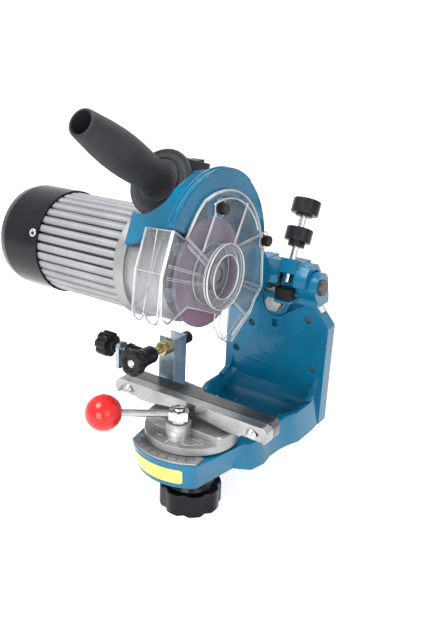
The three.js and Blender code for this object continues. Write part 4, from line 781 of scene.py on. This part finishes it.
# Vise: a cast aluminium turntable on the nose, with a white pointer line and a moulded pocket each side of it, held by
# a stud through the nose and the big black lock knob below.
taken_up("vise_turntable", "turntable_cast", cast)
step_top, half_line, paint = 0.037, 0.0004, 0.00012
pointer = strip_form([(-half_line, -0.1635, step_top), (half_line, -0.1635, step_top),
                      (half_line, -0.1845, step_top), (-half_line, -0.1845, step_top)], (0, 0, paint))
seated(shown("turntable_pointer", pointer), label_white(), body=body_of["vise_turntable"], slot="white_label")
pocket = [(-30, -163.5), (-12, -163.5), (-9, -166), (-9, -172), (-13, -176), (-22, -173.5), (-30, -163.5)]
pockets = [bead_form(eased([(way * x / 1000, y / 1000, 0.0371) for x, y in pocket]), 0.0007) for way in (1, -1)]
seated(shown("turntable_raised_lines", gathered(pockets)), cast, body=body_of["vise_turntable"],
       slot="cast_aluminium")
taken_up("vise_stud", "vise_stud_plated", bright)
taken_up("vise_lock_knob", "vise_lock_moulded", gloss)


# Jaws: two long milled steel bars, the front one bright and pressed by the cam nut, the rear one darker and screwed to
# the turntable, with a gap between them for the chain, over which a thin dark strip is painted shadow.
def jaw_steel(name, dark, light):
    finish = new_finish(name)
    lines = grain(220, 3, (0.08, 1, 1))
    patch = grain(45, 3)
    return surfaced(
        finish,
        Base_Color=mixed(patch.spread(), dark, light),
        Metallic=0.9,
        Roughness=lines.spread(0.18, 0.3),
        Normal=relief(lines, 0.00005, 0.0008),
    )


front_steel = jaw_steel("front_jaw_steel", (0.30, 0.30, 0.305), (0.42, 0.42, 0.425))
rear_steel = jaw_steel("rear_jaw_steel", (0.10, 0.10, 0.105), (0.17, 0.17, 0.175))
taken_up("front_jaw", "front_jaw_bar", front_steel)
taken_up("rear_jaw", "rear_jaw_bar", rear_steel)
for node in ("jaw_screw_1", "jaw_screw_2", "jaw_guide_bolt"):
    taken_up(node, node + "_plated", bright)

# The thin dark strip along the top of the gap is painted shadow for the shade down in the gap between the jaws; it
# takes the dark oiled steel finish.
half_long, slit_front, slit_back, jaw_top, shadow_strip_thick = 0.0865, -0.1407, -0.1394, 0.066, 0.00008
gap_shadow_strip = strip_form([(-half_long, slit_front, jaw_top), (-half_long, slit_back, jaw_top),
                   (half_long, slit_back, jaw_top), (half_long, slit_front, jaw_top)], (0, 0, shadow_strip_thick))
seated(shown("chain_gap_painted_shadow", gap_shadow_strip), oiled_steel_and_gap_shadow, body=body_of["rear_jaw"], slot="dark_steel")


# Clamp: a chromed cam nut on the turntable's post, turned by a plated steel lever that is screwed into it, with a
# ball of red plastic moulded on the lever's end.
def chrome():
    finish = new_finish("chrome")
    film = grain(70, 3)
    # The base colour is a painted reflection: light and dark bands by the angle to the camera stand for the studio
    # mirrored in the chrome.
    reflection_angle = Wire.node("LayerWeight", {}, {"Blend": 0.5}, out="Facing") + film * 0.1
    stops = [(0, (0.30, 0.31, 0.33)), (0.25, (0.72, 0.73, 0.75)), (0.42, (0.20, 0.21, 0.23)),
             (0.6, (0.62, 0.63, 0.65)), (0.8, (0.24, 0.25, 0.27)), (1, (0.7, 0.7, 0.72))]
    painted_reflection_bands = Wire.node("ValToRGB", {"stops": stops}, {"Fac": reflection_angle})
    return surfaced(finish, Base_Color=painted_reflection_bands, Metallic=1, Roughness=film.spread(0.07, 0.14),
                    Normal=relief(film, 0.00002, 0.0006))


nut_at = Matrix.Translation((0.002, -0.166, 0))
collar = turned_form([(5, 53.1), (9.0, 53.1), (9.5, 53.6), (9.5, 54.8)], nut_at)
well = turned_form([(9.3, 63.4), (8.7, 64.3), (7.9, 64.6), (7.3, 64.3), (7, 63.4), (6.8, 60.5), (5.3, 60.3),
                    (5.3, 65.4), (4.9, 66.3), (4, 66.8), (0, 66.9)], nut_at)
hexagon = turned_form([(9.88, 54.3), (10.4, 55.1), (10.4, 62.6), (9.932, 63.7), (6.9, 63.7)], nut_at, sides=6)
hexagon.verts.ensure_lookup_table()
hexagon.faces.new(hexagon.verts[:6][::-1])
seated(shown("clamp_nut_chromed", gathered([collar, well, hexagon]), sharp=28), chrome(), "clamp_hub")
taken_up("clamp_lever", "clamp_lever_steel", front_steel)


def red_plastic():
    finish = new_finish("red_plastic")
    patch = grain(60, 3)
    return surfaced(
        finish,
        Base_Color=mixed(patch.spread(), (0.68, 0.012, 0.010), (0.78, 0.022, 0.016)),
        Roughness=patch.spread(0.16, 0.24),
        Specular_IOR_Level=0.3,
        Coat_Weight=0.25,
        Coat_Roughness=0.04,
        Normal=relief(patch, 0.00004, 0.0005),
    )


taken_up("lever_ball", "lever_ball_red", red_plastic(), sharp=60)


# Chain stop: a folded, zinc-plated column screwed to the turntable, which carries a yellow-plated rod with its nuts, a
# block with an adjusting knob, and a cross rod with its own knob, whose pawl stops the chain.
def plated(name, dark, light):
    finish = new_finish(name)
    lines = grain(180, 3, (1, 1, 0.1))
    patch = grain(55, 4)
    return surfaced(
        finish,
        Base_Color=mixed(patch.spread(), dark, light),
        Metallic=0.9,
        Roughness=lines.spread(0.24, 0.4),
        Normal=relief(lines, 0.00004, 0.0004),
    )


zinc = plated("blue_zinc", (0.22, 0.30, 0.37), (0.38, 0.45, 0.51))
yellow = plated("yellow_zinc", (0.42, 0.34, 0.15), (0.58, 0.50, 0.27))
for node in ("stop_column", "stop_pawl"):
    taken_up(node, node + "_zinc", zinc)
for node in ("stop_rod", "stop_nut_1", "stop_nut_2"):
    taken_up(node, node + "_yellow", yellow)
taken_up("stop_rod_cap", "stop_rod_cap_moulded", black)


def star_form(place, outer, dip, thick, recess, deep, hub, hub_long):
    """A star knob along the local z: a lobed body with rounded edges, a dished face and a round hub behind it."""
    lobes = 7
    sides = lobes * 10
    levels = [(-hub_long, hub, 0), (0, hub, 0), (0, outer - 1.6, 1), (0.5, outer - 0.5, 1), (1.5, outer, 1),
              (thick - 1.8, outer, 1), (thick - 0.6, outer - 0.5, 1), (thick, outer - 1.7, 1), (thick, recess, 0),
              (thick - 0.3, recess - 0.6, 0), (thick - deep, recess - 1.1, 0)]
    form = bmesh.new()
    rings = []
    for z, radius, lobed in levels:
        ring = []
        for k in range(sides):
            turn = 2 * math.pi * k / sides
            hollow = dip * max(0, math.cos(lobes * turn)) ** 1.4 if lobed else 0
            ring.append(form.verts.new(place @ Vector(((radius - hollow) * math.cos(turn) / 1000,
                                                       (radius - hollow) * math.sin(turn) / 1000, z / 1000))))
        rings.append(ring)
    for near, far in zip(rings, rings[1:]):
        for k in range(sides):
            form.faces.new((near[k], near[(k + 1) % sides], far[(k + 1) % sides], far[k]))
    form.faces.new(rings[0][::-1])
    form.faces.new(rings[-1])
    return form


rod_x, cross_y, rod_z = -0.054, -0.145, 0.095
knob_at = Matrix.Translation((rod_x, -0.1615, rod_z)) @ Matrix.Rotation(math.radians(90), 4, "X")
adjust_star = star_form(knob_at, outer=13.4, dip=1.7, thick=8.4, recess=8.2, deep=1.6, hub=6.2, hub_long=2.3)
seated(shown("stop_adjust_star", adjust_star, sharp=38), black, "stop_adjust_knob")
knob_screw = turned_form([(4, 6.7), (4, 7.1), (3.4, 7.5), (2.4, 7.6), (2.1, 7.1), (0, 7.0)], knob_at, 24)
seated(shown("stop_knob_screw", knob_screw), bright, body=body_of["stop_adjust_knob"], slot=slot_of["stop_rod"])
end_at = Matrix.Translation((-0.0985, cross_y, rod_z)) @ Matrix.Rotation(math.radians(-90), 4, "Y")
end_star = star_form(end_at, outer=12.9, dip=1.8, thick=13.8, recess=8.5, deep=1.2, hub=6.4, hub_long=4.8)
seated(shown("stop_end_star", end_star, sharp=38), black, "stop_end_knob")

sleeve_at = Matrix.Translation((-0.077, cross_y, rod_z)) @ Matrix.Rotation(math.radians(90), 4, "Y")
sleeve = turned_form([(2.9, 19.5), (2.9, 0.3), (3.2, 0), (7.2, 0), (8, 0.7), (8, 3.4), (7.3, 4.1), (7.1, 5),
                      (7.1, 20)], sleeve_at, 32)
barrel_at = Matrix.Translation((rod_x, -0.1587, rod_z)) @ Matrix.Rotation(math.radians(-90), 4, "X")
barrel = turned_form([(4.2, 0), (9.2, 0), (10, 0.8), (10, 4), (9.3, 4.8), (8.9, 5.6), (8.9, 10), (8.9, 17.4),
                      (8.9, 20), (8.2, 22), (7, 23.4), (4, 23.4)], barrel_at, 40)


def bored(face):
    """True where the cross rod's bore comes through the barrel's wall."""
    middle = face.calc_center_median()
    return middle.x < -0.060 and abs(middle.y - cross_y) < 0.001 and abs(middle.z - rod_z) < 0.0032


bmesh.ops.delete(barrel, geom=[face for face in barrel.faces if bored(face)], context="FACES")
seated(shown("stop_block_moulded", gathered([sleeve, barrel])), black, "stop_block")
taken_up("stop_cross_rod", "stop_cross_rod_plated", bright)


# Studio: a pale floor just under the machine and an even pale sky, both white to the camera but for the machine's own
# shadow, with four soft lamps.
floor_form = bmesh.new()
bmesh.ops.create_grid(floor_form, x_segments=2, y_segments=2, size=6)
floor = shown("floor", floor_form)
floor.location.z = cad_box[0].z - 0.0005


def looked_at():
    """1 where the camera, a reflection or a clear piece looks, and 0 for light that falls on the machine."""
    return (Wire.node("LightPath", out="Is Camera Ray") + Wire.node("LightPath", out="Is Glossy Ray")
            + Wire.node("LightPath", out="Is Transmission Ray")).limited()


floor.data.materials.append(new_finish("pale_floor"))
card = Wire.node("BsdfDiffuse", {}, {"Color": (0.8, 0.8, 0.8, 1)})
glow = Wire.node("Emission", {}, {"Color": (1, 1, 1, 1), "Strength": 0.75})
lit = Wire.node("AddShader", {}, {0: card, 1: glow})
ended(Wire.node("MixShader", {}, {0: looked_at(), 1: card, 2: lit}))

sky = bpy.data.worlds.new("sky")
sky.use_nodes = True
sky.node_tree.nodes.clear()
Wire.tree = sky.node_tree
strength = looked_at().between(0, 1, 0.36, 1)
ended(Wire.node("Background", {}, {"Color": (1, 1, 1, 1), "Strength": strength}), "World")
bpy.context.scene.world = sky

aimed_at = Vector((0, -0.1, 0.15))
for name, place, power, size in (
    ("key_lamp", (-0.5, -1.0, 1.7), 27, 0.8),
    ("front_lamp", (0.3, -1.7, 0.35), 14, 0.9),
    ("fill_lamp", (1.5, -0.8, 0.7), 8, 1.0),
    ("top_lamp", (0.2, 0.5, 1.6), 13, 0.8),
):
    lamp = bpy.data.lights.new(name, "AREA")
    lamp.energy = power
    lamp.size = size
    holder = bpy.data.objects.new(name, lamp)
    holder.location = place
    holder.rotation_euler = (aimed_at - Vector(place)).to_track_quat("-Z", "Y").to_euler()
    bpy.context.scene.collection.objects.link(holder)
